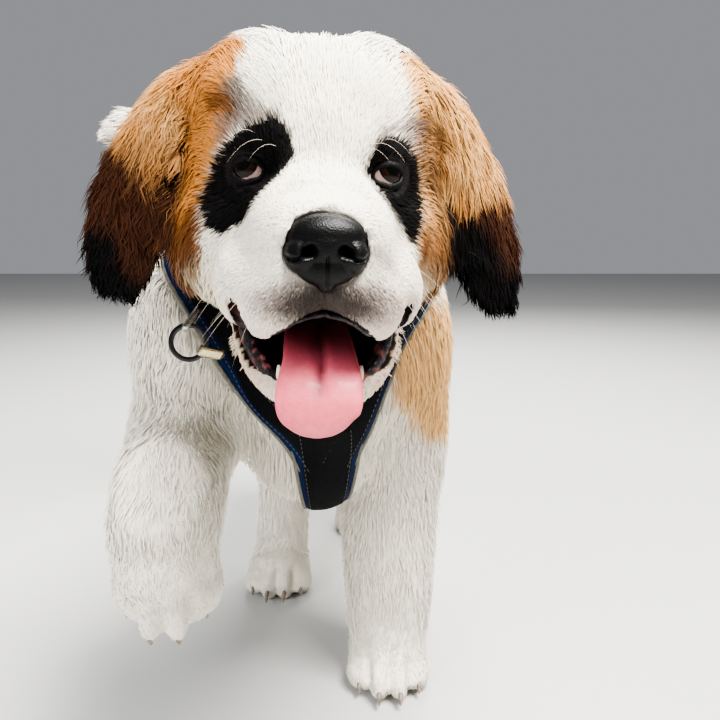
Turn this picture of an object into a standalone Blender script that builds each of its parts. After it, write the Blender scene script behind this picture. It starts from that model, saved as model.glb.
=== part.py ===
"""A life-size Saint Bernard puppy at a walk, mouth open, in a padded harness.

Metres, +Z up. The puppy faces -Y, so its left side is +X. It is modelled about its own mid-plane
with the floor at z = 0, and the last step moves everything so that the origin lies under the middle
of the whole model. The solids are the outline of the coat.
"""

import random
from math import cos, pi, radians, sin

import bmesh
import bpy
import numpy as np
from mathutils import Euler, Matrix, Vector
from mathutils.bvhtree import BVHTree

# Driving dimensions of the puppy
WITHERS = 0.460          # height of the shoulders above the floor
CHEST_FLOOR = 0.208      # underside of the chest
CHEST_HALF = 0.120       # half the width of the rib cage, coat included
BODY_FRONT = -0.215      # point of the breastbone
BODY_BACK = 0.245        # point of the rump

# Gap between neighbouring solids, and the grid on which the pieces of the body are fused
GAP = 0.0003
GRID = 0.0030
CRUMB = 1e-8             # cubic metres: a Boolean that leaves less has failed

# The head: its origin lies midway between the eyes
HEAD_AT = Vector((0.018, -0.360, 0.496))
HEAD_TURN = radians(6.5)     # to its own left
HEAD_LEAN = radians(1.5)     # crown towards its own left
EYE_APART = 0.0430           # half the distance between the eyes
EYE_DEEP = 0.0025            # how far behind the head's origin the centre of each eyeball lies
EYE_RADIUS = 0.0120
NOSE_TIP = -0.1040
MOUTH_CORNER = Vector((0.052, 0.004, -0.084))

# The feet: middle of each sole on the floor, and of the raised wrist
PAW_HALF = 0.0445
SOLE_CUT = 0.0014        # height at which the soles are cut flat
LEFT_FORE = Vector((0.074, -0.150, 0.0))
RIGHT_HIND = Vector((-0.060, 0.045, 0.0))
LEFT_HIND = Vector((0.048, 0.240, 0.0))
RAISED_WRIST = Vector((-0.102, -0.312, 0.262))

# The harness
PADDING = 0.0052         # thickness of the padding
STRAP_CLEAR = 0.0032     # how far the straps stand off the coat's facets
RING_AT = Vector((-0.0894, -0.2802, 0.3734))
RING_RADIUS = 0.0135
RING_WIRE = 0.0021

# Locks of hair: half width and half thickness of one on an ear and on the tail
EAR_LOCK = (0.0132, 0.0030)
TAIL_LOCK = (0.0200, 0.0036)
LOCK_STEPS = 4           # rings along a lock
TAIL_CORE = 0.50         # share of the tail's coat that its core fills

# Triangles left on the body and the head before they are parted
BODY_TRIANGLES = 3200
HEAD_TRIANGLES = 1850

SEED = 20


def clear_scene():
    for thing in list(bpy.data.objects):
        bpy.data.objects.remove(thing)


def make_collection(name):
    made = bpy.data.collections.new(name)
    bpy.context.scene.collection.children.link(made)
    return made


clear_scene()
PUPPY = make_collection("saint_bernard_puppy")
TOOLS = make_collection("cutters")


def material(name, colour, roughness, metallic=0.0):
    made = bpy.data.materials.new(name)
    made.use_nodes = True
    shader = made.node_tree.nodes["Principled BSDF"]
    shader.inputs["Base Color"].default_value = (*colour, 1)
    shader.inputs["Roughness"].default_value = roughness
    shader.inputs["Metallic"].default_value = metallic
    return made


WHITE_COAT = material("white_coat", (0.86, 0.82, 0.76), 0.9)
RED_COAT = material("red_coat", (0.62, 0.33, 0.14), 0.9)
DARK_COAT = material("dark_coat", (0.05, 0.03, 0.02), 0.9)
NOSE_LEATHER = material("nose_leather", (0.012, 0.012, 0.014), 0.35)
TONGUE_PINK = material("tongue_pink", (0.80, 0.30, 0.33), 0.4)
EYE_BROWN = material("eye_brown", (0.03, 0.015, 0.008), 0.1)
WEBBING = material("webbing", (0.012, 0.013, 0.020), 0.8)
STEEL = material("steel", (0.55, 0.54, 0.50), 0.3, 1.0)
BLACK_RING = material("black_ring", (0.01, 0.01, 0.01), 0.35, 0.6)


# Tools that every form uses


def add_object(name, form, collection=None):
    """A new object from a bmesh, which is freed."""
    mesh = bpy.data.meshes.new(name)
    form.to_mesh(mesh)
    form.free()
    made = bpy.data.objects.new(name, mesh)
    (collection or TOOLS).objects.link(made)
    return made


def settle(thing):
    """Applies the modifiers of an object."""
    graph = bpy.context.evaluated_depsgraph_get()
    mesh = bpy.data.meshes.new_from_object(thing.evaluated_get(graph))
    old = thing.data
    thing.modifiers.clear()
    thing.data = mesh
    bpy.data.meshes.remove(old)
    return thing


def copy_of(thing, name):
    made = thing.copy()
    made.data = thing.data.copy()
    made.name = name
    TOOLS.objects.link(made)
    return made


def ellipsoid(centre, radii, turn=(0, 0, 0), around=20, rings=14):
    """A closed ellipsoid; turn is a rotation about X, Y and Z in degrees."""
    form = bmesh.new()
    bmesh.ops.create_uvsphere(form, u_segments=around, v_segments=rings, radius=1)
    place = Euler([radians(a) for a in turn]).to_matrix().to_4x4() @ Matrix.Diagonal((*radii, 1))
    form.transform(Matrix.Translation(centre) @ place)
    return add_object("ellipsoid", form)


def even_rows(rows, steps):
    """Rows of numbers, with a smooth curve drawn through them."""
    rows = np.array(rows, float)
    padded = np.vstack([2 * rows[0] - rows[1], rows, 2 * rows[-1] - rows[-2]])
    made = []
    for i in range(1, len(padded) - 2):
        a, b, c, d = padded[i - 1 : i + 3]
        for t in np.arange(steps) / steps:
            squared = (2 * a - 5 * b + 4 * c - d) * t**2
            cubed = (3 * b - a - 3 * c + d) * t**3
            made.append(0.5 * (2 * b + (c - a) * t + squared + cubed))
    return np.array(made + [rows[-1]])


def skin_rings(name, rings):
    """A closed form through rings of points that all have the same count."""
    form = bmesh.new()
    rows = [[form.verts.new(point) for point in ring] for ring in rings]
    count = len(rows[0])
    for low, high in zip(rows, rows[1:]):
        for k in range(count):
            n = (k + 1) % count
            form.faces.new((low[k], low[n], high[n], high[k]))
    form.faces.new(rows[0])
    form.faces.new(rows[-1])
    bmesh.ops.recalc_face_normals(form, faces=form.faces)
    return add_object(name, form)


def heading(centres, i):
    return (centres[min(i + 1, len(centres) - 1)] - centres[max(i - 1, 0)]).normalized()


def loft(stations, side=(1, 0, 0), around=20, steps=3, square=2.0):
    """A closed tube through stations of (x, y, z, half width, half depth); the width lies along side.

    square is the power of the cross-section's superellipse: 2 is an ellipse, more is boxier.
    """
    rows = even_rows(stations, steps)
    centres = [Vector(r[:3]) for r in rows]
    rings = []
    for i, row in enumerate(rows):
        along = heading(centres, i)
        across = Vector(side)
        across = (across - across.dot(along) * along).normalized()
        up = along.cross(across)
        ring = []
        for k in range(around):
            turn = cos(2 * pi * k / around), sin(2 * pi * k / around)
            c, s = (abs(v) ** (2 / square) * (1 if v >= 0 else -1) for v in turn)
            ring.append(centres[i] + across * row[3] * c + up * row[4] * s)
        rings.append(ring)
    return skin_rings("loft", rings)


def join(name, pieces):
    """One object from several."""
    form = bmesh.new()
    for piece in pieces:
        piece.data.transform(piece.matrix_world)
        form.from_mesh(piece.data)
        bpy.data.objects.remove(piece)
    return add_object(name, form)


def fuse(name, pieces, grid, passes):
    """Overlapping closed pieces made one skin, with the creases between them eased."""
    return eased(join(name, pieces), grid, passes)


def eased(thing, grid, passes):
    remesh = thing.modifiers.new("Remesh", "REMESH")
    remesh.mode = "VOXEL"
    remesh.voxel_size = grid
    smooth = thing.modifiers.new("Smooth", "SMOOTH")
    smooth.factor = 0.5
    smooth.iterations = passes
    return settle(thing)


def thin_out(thing, triangles):
    """Fewer triangles, most where the surface bends most."""
    thing.data.calc_loop_triangles()
    now = len(thing.data.loop_triangles)
    decimate = thing.modifiers.new("Decimate", "DECIMATE")
    decimate.ratio = min(1.0, triangles / now)
    decimate.use_collapse_triangulate = True
    return settle(thing)


def is_solid(mesh):
    """Whether a mesh has no open edge and holds more than a crumb."""
    form = bmesh.new()
    form.from_mesh(mesh)
    closed = all(len(edge.link_faces) == 2 for edge in form.edges)
    volume = form.calc_volume(signed=True)
    form.free()
    return closed and volume > CRUMB


def solved(target, modifier):
    """Applies a Boolean, by the other solver where the first leaves no proper solid."""
    graph = bpy.context.evaluated_depsgraph_get()
    for solver in ("EXACT", "MANIFOLD"):
        modifier.solver = solver
        graph.update()
        mesh = bpy.data.meshes.new_from_object(target.evaluated_get(graph))
        if is_solid(mesh):
            break
    target.modifiers.clear()
    target.data = mesh
    return target


def combine(target, tool, operation):
    boolean = target.modifiers.new("Boolean", "BOOLEAN")
    boolean.operation = operation
    boolean.object = tool
    return solved(target, boolean)


def unite(target, pieces):
    """A Boolean union of the target with loose closed pieces, which are used up."""
    tool = make_collection("growing")
    for piece in pieces:
        for old in list(piece.users_collection):
            old.objects.unlink(piece)
        tool.objects.link(piece)
    boolean = target.modifiers.new("Union", "BOOLEAN")
    boolean.operation = "UNION"
    boolean.operand_type = "COLLECTION"
    boolean.collection = tool
    solved(target, boolean)
    for piece in pieces:
        bpy.data.objects.remove(piece)
    bpy.data.collections.remove(tool)
    return keep_largest(target)


def grown(thing, by):
    """A copy whose surface stands out by a little all over."""
    made = copy_of(thing, thing.name + "_grown")
    displace = made.modifiers.new("Displace", "DISPLACE")
    displace.mid_level = 0
    displace.strength = by
    return settle(made)


def cut_away(target, tool, gap=GAP):
    """Takes the tool's shape and a gap round it out of the target."""
    cutter = grown(tool, gap)
    combine(target, cutter, "DIFFERENCE")
    bpy.data.objects.remove(cutter)
    return keep_largest(target)


def keep_largest(thing):
    """Keeps the largest closed surface of a mesh, by volume."""
    form = bmesh.new()
    form.from_mesh(thing.data)
    seen, parts = set(), []
    for start in form.faces:
        if start in seen:
            continue
        stack, part = [start], []
        seen.add(start)
        while stack:
            face = stack.pop()
            part.append(face)
            for edge in face.edges:
                for other in edge.link_faces:
                    if other not in seen:
                        seen.add(other)
                        stack.append(other)
        parts.append(part)

    def volume(part):
        total = 0.0
        for face in part:
            p = [v.co for v in face.verts]
            for b, c in zip(p[1:], p[2:]):
                total += p[0].dot(b.cross(c)) / 6
        return total

    parts.sort(key=volume)
    loose = [face for part in parts[:-1] for face in part]
    if loose:
        bmesh.ops.delete(form, geom=loose, context="FACES")
        form.to_mesh(thing.data)
    form.free()
    return thing


def crop(thing, point, outward):
    """Cuts off all that lies beyond a plane, and caps the cut."""
    form = bmesh.new()
    form.from_mesh(thing.data)
    every = list(form.verts) + list(form.edges) + list(form.faces)
    cut = bmesh.ops.bisect_plane(
        form, geom=every, plane_co=point, plane_no=outward, clear_outer=True, dist=1e-7
    )["geom_cut"]
    rim = [e for e in cut if isinstance(e, bmesh.types.BMEdge)]
    bmesh.ops.contextual_create(form, geom=rim)
    bmesh.ops.triangulate(form, faces=[f for f in form.faces if len(f.verts) > 4])
    form.to_mesh(thing.data)
    form.free()
    return keep_largest(thing)


def block(centre, half, turn=(0, 0, 0)):
    """A box by its centre and half sizes, turned about its own axes in degrees."""
    form = bmesh.new()
    bmesh.ops.create_cube(form, size=2)
    place = Euler([radians(a) for a in turn]).to_matrix().to_4x4() @ Matrix.Diagonal((*half, 1))
    form.transform(Matrix.Translation(centre) @ place)
    return add_object("block", form)


def eased_step(share):
    """From 0 to 1, slow at both ends."""
    share = min(1, max(0, share))
    return share * share * (3 - 2 * share)


def lock(path, across, half, thick):
    """A flat tapered lock of hair along a path of points, its width lying along across."""
    rows = []
    for i, point in enumerate(path):
        share = i / (len(path) - 1)
        width = half * (0.80 + 0.9 * share - 1.56 * share * share)
        rows.append((*point, width, thick * (1 - 0.88 * share)))
    return loft(rows, side=across, around=4, steps=1)


# The trunk, neck, legs and tail


def trunk_pieces():
    ribs = [
        (0.002, BODY_FRONT, 0.325, 0.040, 0.045),
        (0.002, BODY_FRONT + 0.02, 0.322, 0.075, 0.088),
        (0, -0.150, 0.328, 0.106, 0.114),
        (0, -0.085, (WITHERS + CHEST_FLOOR) / 2, CHEST_HALF - 0.002, (WITHERS - CHEST_FLOOR) / 2),
        (0, -0.010, 0.334, CHEST_HALF + 0.002, 0.121),
        (0, 0.070, 0.339, CHEST_HALF, 0.114),
        (0, 0.140, 0.345, 0.108, 0.106),
        (0, 0.200, 0.352, 0.092, 0.094),
        (0, BODY_BACK - 0.01, 0.360, 0.062, 0.066),
        (0, BODY_BACK + 0.008, 0.365, 0.030, 0.035),
    ]
    pieces = [loft(ribs, around=28)]
    # shoulders: the right one is carried forward with the raised leg
    pieces.append(ellipsoid((0.082, -0.140, 0.345), (0.053, 0.080, 0.105), (12, 0, 0)))
    pieces.append(ellipsoid((-0.103, -0.188, 0.352), (0.060, 0.078, 0.100), (16, 0, 0)))
    for side in (1, -1):
        pieces.append(ellipsoid((side * 0.066, 0.165, 0.330), (0.058, 0.086, 0.098), (-14, 0, 0)))
    # the breast between the forelegs, and the crest of the back
    pieces.append(ellipsoid((0.000, -0.185, 0.278), (0.070, 0.055, 0.074)))
    pieces.append(ellipsoid((0.012, -0.215, 0.335), (0.078, 0.048, 0.070)))
    pieces.append(ellipsoid((0.000, -0.070, 0.420), (0.060, 0.100, 0.050)))
    return pieces


def neck_pieces():
    path = [
        (0.000, -0.030, 0.370, 0.070, 0.062),
        (0.000, -0.075, 0.388, 0.088, 0.080),
        (0.004, -0.140, 0.415, 0.098, 0.094),
        (0.010, -0.195, 0.436, 0.098, 0.092),
        (0.015, -0.245, 0.458, 0.090, 0.085),
        (0.018, -0.300, 0.478, 0.080, 0.078),
    ]
    return [loft(path, around=24)]


def toes():
    """Across, ahead and size of each of the four toes of a paw."""
    inner, outer = (0.0102, -0.034, 0.0168), (0.0290, -0.018, 0.0152)
    return [(side * across, ahead, size) for side in (1, -1) for across, ahead, size in (inner, outer)]


def paw_place(sole, pitch=0.0):
    scale = Matrix.Scale(PAW_HALF / 0.0435, 4)
    return Matrix.Translation(sole) @ Euler((pitch, 0, 0)).to_matrix().to_4x4() @ scale


def paw_pieces(place):
    """A foot with four toes and its knuckles, made about the middle of its sole."""
    shapes = [((0, 0.004, 0.027), (0.040, 0.047, 0.029)), ((0, 0.028, 0.022), (0.031, 0.026, 0.024))]
    for across, ahead, size in toes():
        shapes.append(((across, ahead, size * 1.02), (size * 0.98, size * 1.45, size * 1.05)))
        shapes.append(((across * 0.94, ahead + 0.020, 0.031), (size * 0.95, size * 1.35, size * 0.95)))
    pieces = []
    for centre, radii in shapes:
        piece = ellipsoid(centre, radii, around=16, rings=12)
        piece.data.transform(place)
        pieces.append(piece)
    return pieces


def claws(place):
    """Four short curved claws, each rooted in its toe and clear of the floor."""
    pieces = []
    for across, ahead, size in toes():
        tip = ahead - size * 1.45
        curve = [
            (across, tip + 0.0080, 0.0150, 0.0028, 0.0032),
            (across, tip - 0.0005, 0.0135, 0.0024, 0.0027),
            (across, tip - 0.0038, 0.0090, 0.0008, 0.0009),
        ]
        piece = loft(curve, around=6, steps=1)
        piece.data.transform(place)
        pieces.append(piece)
    return pieces


def raised_paw_place():
    hang = radians(62)
    below_wrist = Vector((0.002, -0.016, -0.034))
    to_sole = Euler((hang, 0, 0)).to_matrix() @ Vector((0, -0.012, -0.026))
    return paw_place(RAISED_WRIST + below_wrist + to_sole, hang)


def left_foreleg_pieces():
    x, y = LEFT_FORE.x, LEFT_FORE.y
    column = [
        (x + 0.006, y + 0.010, 0.345, 0.048, 0.066),
        (x + 0.006, y + 0.018, 0.285, 0.055, 0.062),
        (x + 0.003, y + 0.024, 0.235, 0.058, 0.056),
        (x + 0.001, y + 0.024, 0.185, 0.055, 0.051),
        (x + 0.001, y + 0.018, 0.135, 0.051, 0.048),
        (x + 0.001, y + 0.013, 0.095, 0.049, 0.046),
        (x, y + 0.012, 0.062, 0.045, 0.043),
        (x, y + 0.008, 0.030, 0.040, 0.043),
    ]
    return [loft(column)]


def right_foreleg_pieces():
    wrist = RAISED_WRIST
    arm = [
        (-0.100, -0.150, 0.355, 0.048, 0.066),
        (-0.109, -0.168, 0.318, 0.054, 0.060),
        (-0.114, -0.190, 0.288, 0.053, 0.052),
        (-0.113, -0.218, 0.275, 0.051, 0.047),
        (-0.109, -0.250, 0.270, 0.049, 0.045),
        (-0.105, -0.285, 0.266, 0.048, 0.044),
        (wrist.x, wrist.y - 0.002, wrist.z, 0.047, 0.043),
        (wrist.x + 0.002, wrist.y - 0.014, wrist.z - 0.026, 0.046, 0.040),
    ]
    pastern = ellipsoid(wrist + Vector((0.001, -0.021, -0.022)), (0.0455, 0.031, 0.046), (12, 0, 0))
    return [loft(arm), pastern]


def hind_leg_pieces(hip, knee, hock, foot):
    middle = (hip + knee) / 2
    shank = (knee + hock) / 2
    leg = [
        (hip.x * 0.72, hip.y, hip.z + 0.07, 0.030, 0.050),
        (hip.x * 0.92, hip.y, hip.z + 0.03, 0.046, 0.074),
        (hip.x, hip.y - 0.002, hip.z - 0.02, 0.053, 0.080),
        (middle.x, middle.y + 0.010, middle.z - 0.01, 0.052, 0.070),
        (knee.x, knee.y + 0.012, knee.z - 0.005, 0.048, 0.055),
        (shank.x, shank.y + 0.004, shank.z, 0.042, 0.043),
        (hock.x, hock.y - 0.003, hock.z + 0.010, 0.037, 0.037),
        ((hock.x + foot.x) / 2, (hock.y + foot.y) / 2 + 0.010, hock.z * 0.55, 0.037, 0.035),
        (foot.x, foot.y + 0.014, 0.034, 0.038, 0.038),
    ]
    return [loft(leg)]


# The tail from its root to its tip, with the half width and half depth of its coat
TAIL_SWEEP = [
    (0.000, 0.200, 0.405, 0.040, 0.040),
    (-0.004, 0.250, 0.436, 0.032, 0.032),
    (-0.030, 0.282, 0.488, 0.031, 0.031),
    (-0.084, 0.286, 0.540, 0.032, 0.032),
    (-0.150, 0.264, 0.578, 0.034, 0.034),
    (-0.215, 0.228, 0.596, 0.033, 0.033),
    (-0.268, 0.192, 0.598, 0.027, 0.028),
    (-0.302, 0.164, 0.582, 0.012, 0.013),
]


TAIL_PART = 0.44         # share of the way along the sweep where the tail is parted in two


def tail_pieces():
    """The core of the tail: as wide as its coat at the root, and thin inside it further on."""
    rows = []
    for i, (x, y, z, half, deep) in enumerate(TAIL_SWEEP):
        core = 1 - (1 - TAIL_CORE) * min(1, i / 2)
        rows.append((x, y, z, half * core, deep * core))
    return [loft(rows, side=(0, 1, 0), around=16)]


def tail_frame(share):
    """Centre, direction, two cross directions and coat radius at a share of the way along the tail."""
    rows = even_rows(TAIL_SWEEP, 6)
    place = share * (len(rows) - 1)
    low = min(int(place), len(rows) - 2)
    row = rows[low] + (rows[low + 1] - rows[low]) * (place - low)
    along = heading([Vector(r[:3]) for r in rows], low)
    across = Vector((0, 1, 0))
    across = (across - across.dot(along) * along).normalized()
    return Vector(row[:3]), along, across, along.cross(across), row[3]


def tail_locks(first, last, tiers, around=4):
    """Tiers of locks that leave the core of a length of the tail and lie towards its tip."""
    locks = []
    length = (last - first) / (tiers + 0.6) * 1.6
    for tier in range(tiers):
        start = first + (last - first - length) * tier / (tiers - 1)
        for k in range(around):
            turn = 2 * pi * (k + 0.5 * (tier % 2) + random.uniform(-0.12, 0.12)) / around
            end = min(last, start + length * random.uniform(0.86, 1.0))
            path = []
            for s in np.linspace(0, 1, LOCK_STEPS):
                centre, along, across, up, radius = tail_frame(start + (end - start) * s)
                reach = TAIL_CORE * 0.45 + (0.93 - TAIL_CORE * 0.45) * eased_step(s * 1.25)
                out = across * cos(turn) + up * sin(turn)
                path.append(centre + out * radius * reach)
            locks.append(lock(path, along.cross(out), *TAIL_LOCK))
    return locks


def body_pieces():
    pieces = trunk_pieces() + neck_pieces() + tail_pieces()
    pieces += left_foreleg_pieces() + right_foreleg_pieces()
    right_hip, right_knee = Vector((-0.066, 0.150, 0.330)), Vector((-0.074, 0.075, 0.228))
    left_hip, left_knee = Vector((0.066, 0.172, 0.330)), Vector((0.074, 0.150, 0.228))
    right_hock = RIGHT_HIND + Vector((0, 0.070, 0.112))
    left_hock = LEFT_HIND + Vector((0.004, 0.042, 0.122))
    pieces += hind_leg_pieces(right_hip, right_knee, right_hock, RIGHT_HIND)
    pieces += hind_leg_pieces(left_hip, left_knee, left_hock, LEFT_HIND)
    feet = []
    for place in (paw_place(LEFT_FORE), raised_paw_place(), paw_place(LEFT_HIND), paw_place(RIGHT_HIND)):
        feet += paw_pieces(place)
    return [fuse("trunk", pieces, 0.0060, 10)] + feet


# The head, in its own frame: x to its left, y to the back of the skull, z up, eyes at y = z = 0

HEAD_PLACE = Matrix.Translation(HEAD_AT) @ Euler((0, HEAD_LEAN, HEAD_TURN)).to_matrix().to_4x4()


def onto_head(thing):
    thing.data.transform(HEAD_PLACE)
    return thing


def skull_pieces():
    pieces = [
        ellipsoid((0, 0.060, 0.014), (0.088, 0.084, 0.076), around=28, rings=20),
        ellipsoid((0, 0.046, 0.034), (0.066, 0.062, 0.062), around=28, rings=20),
        ellipsoid((0, 0.105, -0.010), (0.076, 0.060, 0.076)),
    ]
    for side in (1, -1):
        # crown, forehead, brow, cheek and the fill under the eye
        pieces.append(ellipsoid((side * 0.030, 0.054, 0.038), (0.056, 0.062, 0.058)))
        pieces.append(ellipsoid((side * 0.024, 0.018, 0.036), (0.036, 0.036, 0.044), (0, 0, side * 12)))
        brow = (0, side * 20, side * 20)
        pieces.append(ellipsoid((side * 0.048, 0.014, 0.019), (0.025, 0.021, 0.016), brow))
        pieces.append(ellipsoid((side * 0.060, 0.058, -0.044), (0.040, 0.056, 0.052), (0, side * 10, 0)))
        pieces.append(ellipsoid((side * 0.052, 0.020, -0.040), (0.030, 0.036, 0.034)))
    return pieces


def muzzle_pieces():
    bridge = [
        (0, 0.030, -0.014, 0.052, 0.044),
        (0, -0.005, -0.030, 0.049, 0.037),
        (0, -0.035, -0.041, 0.046, 0.034),
        (0, -0.065, -0.048, 0.042, 0.033),
        (0, -0.084, -0.052, 0.036, 0.030),
        (0, -0.096, -0.055, 0.025, 0.022),
    ]
    pieces = [loft(bridge, around=24, square=2.4)]
    for side in (1, -1):
        flew = [
            (side * 0.010, -0.086, -0.066, 0.013, 0.014),
            (side * 0.022, -0.077, -0.073, 0.021, 0.023),
            (side * 0.033, -0.058, -0.075, 0.025, 0.026),
            (side * 0.041, -0.032, -0.069, 0.025, 0.025),
            (side * 0.045, -0.008, -0.061, 0.020, 0.021),
            (side * 0.046, 0.012, -0.056, 0.012, 0.014),
        ]
        pieces.append(loft(flew, around=18))
    return pieces


def jaw_pieces():
    mouth_floor = [
        (0, 0.070, -0.070, 0.056, 0.042),
        (0, 0.035, -0.092, 0.053, 0.032),
        (0, 0.000, -0.113, 0.048, 0.022),
        (0, -0.028, -0.128, 0.041, 0.0165),
        (0, -0.048, -0.136, 0.031, 0.0130),
        (0, -0.062, -0.139, 0.018, 0.0095),
    ]
    pieces = [loft(mouth_floor, around=22)]
    for side in (1, -1):
        lip = [
            (side * 0.053, 0.012, -0.080, 0.0085, 0.0090),
            (side * 0.051, -0.008, -0.094, 0.0085, 0.0105),
            (side * 0.046, -0.026, -0.110, 0.0080, 0.0105),
            (side * 0.036, -0.045, -0.124, 0.0075, 0.0095),
            (side * 0.021, -0.058, -0.131, 0.0070, 0.0085),
            (side * 0.006, -0.064, -0.133, 0.0070, 0.0080),
        ]
        pieces.append(loft(lip, around=14))
    return pieces


def prism(outline, half):
    """A closed form from an outline of (y, z) in the side view, as wide as twice half."""
    form = bmesh.new()
    face = form.faces.new([form.verts.new((-half, y, z)) for y, z in outline])
    swept = bmesh.ops.extrude_face_region(form, geom=[face])["geom"]
    corners = [v for v in swept if isinstance(v, bmesh.types.BMVert)]
    bmesh.ops.translate(form, verts=corners, vec=(2 * half, 0, 0))
    bmesh.ops.recalc_face_normals(form, faces=form.faces)
    return add_object("prism", form)


def hollows():
    """The open mouth, an arch under the lips that narrows to the throat, with both eye sockets."""
    arch = [
        (0, -0.120, -0.116, 0.024, 0.026),
        (0, -0.085, -0.106, 0.027, 0.025),
        (0, -0.058, -0.105, 0.032, 0.024),
        (0, -0.030, -0.099, 0.038, 0.024),
        (0, 0.000, -0.089, 0.040, 0.021),
        (0, 0.026, -0.080, 0.031, 0.014),
        (0, 0.042, -0.076, 0.016, 0.008),
    ]
    sockets = []
    for side in (1, -1):
        centre = (side * EYE_APART, -0.017, -0.0005)
        sockets.append(ellipsoid(centre, (0.0185, 0.0130, 0.0125), (0, side * 8, 0)))
    corner = MOUTH_CORNER
    sides = prism([(corner.y + 0.004, corner.z), (-0.080, -0.104), (-0.080, -0.126), (-0.040, -0.117)], 0.09)
    return join("hollows", [loft(arch, around=22), sides] + sockets)


def build_whole():
    """The whole puppy as one eased skin with its mouth open."""
    head = [onto_head(piece) for piece in skull_pieces() + muzzle_pieces() + jaw_pieces()]
    whole = fuse("whole", body_pieces() + head, GRID, 8)
    hollow = onto_head(eased(hollows(), 0.0025, 1))
    combine(whole, hollow, "DIFFERENCE")
    bpy.data.objects.remove(hollow)
    return eased(whole, GRID, 3)


def big_block(point, outward, reach, half):
    """A box whose top face lies on a plane, reaching back from it."""
    turn = outward.to_track_quat("Z", "Y").to_matrix().to_4x4()
    form = bmesh.new()
    bmesh.ops.create_cube(form, size=1)
    place = Matrix.Translation(point) @ turn @ Matrix.Translation((0, 0, -reach / 2))
    form.transform(place @ Matrix.Diagonal((2 * half, 2 * half, reach, 1)))
    return add_object("big_block", form)


def part_head(whole):
    """The head and the body apart, each thinned out before the exact cut between them."""
    point = HEAD_PLACE @ Vector((0, 0.100, -0.020))
    back = (HEAD_PLACE.to_3x3() @ Vector((0, 0.940, -0.342))).normalized()
    thin_out(whole, 26000)
    head, body = copy_of(whole, "head"), whole
    near = big_block(point + back * 0.012, back, 0.300, 0.190)
    combine(head, near, "INTERSECT")
    keep_largest(head)
    thin_out(head, HEAD_TRIANGLES)
    crop(head, point - back * GAP / 2, back)
    near.data.transform(Matrix.Translation(back * -0.024))
    combine(body, near, "DIFFERENCE")
    keep_largest(body)
    thin_out(body, BODY_TRIANGLES)
    crop(body, Vector((0, 0, SOLE_CUT)), Vector((0, 0, -1)))
    near.data.transform(Matrix.Translation(back * (0.012 + GAP / 2)))
    combine(body, near, "DIFFERENCE")
    keep_largest(body)
    bpy.data.objects.remove(near)
    return head, body


def part_limb(body, name, centre, half, turn=(0, 0, 0)):
    """Takes the part of the body inside a box, and leaves a gap in its place."""
    limb = copy_of(body, name)
    inside = block(centre, half, turn)
    outside = block(centre, [h + GAP for h in half], turn)
    combine(limb, inside, "INTERSECT")
    combine(body, outside, "DIFFERENCE")
    bpy.data.objects.remove(inside)
    bpy.data.objects.remove(outside)
    keep_largest(body)
    return keep_largest(limb)


def part_tail(tail):
    """The tail as a root and a tip, each grown over with its own locks."""
    at, along = tail_frame(TAIL_PART)[:2]
    tip = copy_of(tail, "tail_tip")
    tail.name = "tail_root"
    crop(tail, at - along * GAP / 2, along)
    crop(tip, at + along * GAP / 2, -along)
    unite(tail, tail_locks(0.23, TAIL_PART - 0.014, 2))
    unite(tip, tail_locks(TAIL_PART + 0.014, 1.0, 3))
    return [tail, tip]


def build_limbs(body):
    """Parts the neck, the tail and the four legs from the body, which is left as the torso."""
    tail = part_limb(body, "tail", (-0.10, 0.27, 0.652), (0.30, 0.14, 0.20))
    limbs = part_tail(tail) + [
        part_limb(body, "neck", (0.01, -0.317, 0.537), (0.16, 0.25, 0.16), (47, 0, 0)),
        part_limb(body, "foreleg_left", (0.080, -0.160, 0.111), (0.100, 0.100, 0.165), (0, 26, 0)),
        part_limb(body, "foreleg_right", (-0.154, -0.290, 0.190), (0.106, 0.170, 0.105), (-8, 0, 0)),
        part_limb(body, "hind_leg_left", (0.106, 0.190, 0.100), (0.100, 0.130, 0.170), (12, 0, 0)),
        part_limb(body, "hind_leg_right", (-0.106, 0.110, 0.090), (0.100, 0.130, 0.160), (14, 0, 0)),
    ]
    body.name = "torso"
    places = {
        "foreleg_left": paw_place(LEFT_FORE),
        "foreleg_right": raised_paw_place(),
        "hind_leg_left": paw_place(LEFT_HIND),
        "hind_leg_right": paw_place(RIGHT_HIND),
    }
    for limb in limbs:
        if limb.name in places:
            unite(limb, claws(places[limb.name]))
    return limbs


# Details of the head


def eye_centre(side):
    return HEAD_PLACE @ Vector((side * EYE_APART, EYE_DEEP, 0))


def eyeball(name, side, radius, around=12, rings=8):
    return add_object(name, ball(eye_centre(side), radius, around, rings))


def ball(centre, radius, around, rings):
    form = bmesh.new()
    bmesh.ops.create_uvsphere(form, u_segments=around, v_segments=rings, radius=radius)
    form.transform(Matrix.Translation(centre) @ Euler((radians(90), 0, 0)).to_matrix().to_4x4())
    return form


def add_lids(head):
    """Lids that follow each eyeball, open as an almond, and the socket of the eye behind them."""
    unite(head, [eyeball("lids", side, EYE_RADIUS + 0.0024, 16, 10) for side in (1, -1)])
    for side in (1, -1):
        centre = (side * EYE_APART, -0.012, -0.0004)
        opening = ellipsoid(centre, (0.0118, 0.0150, 0.0080), (0, side * 9, 0), 14, 8)
        combine(head, onto_head(opening), "DIFFERENCE")
        bpy.data.objects.remove(opening)
        socket = eyeball("socket", side, EYE_RADIUS + GAP)
        combine(head, socket, "DIFFERENCE")
        bpy.data.objects.remove(socket)
    return keep_largest(head)


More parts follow.
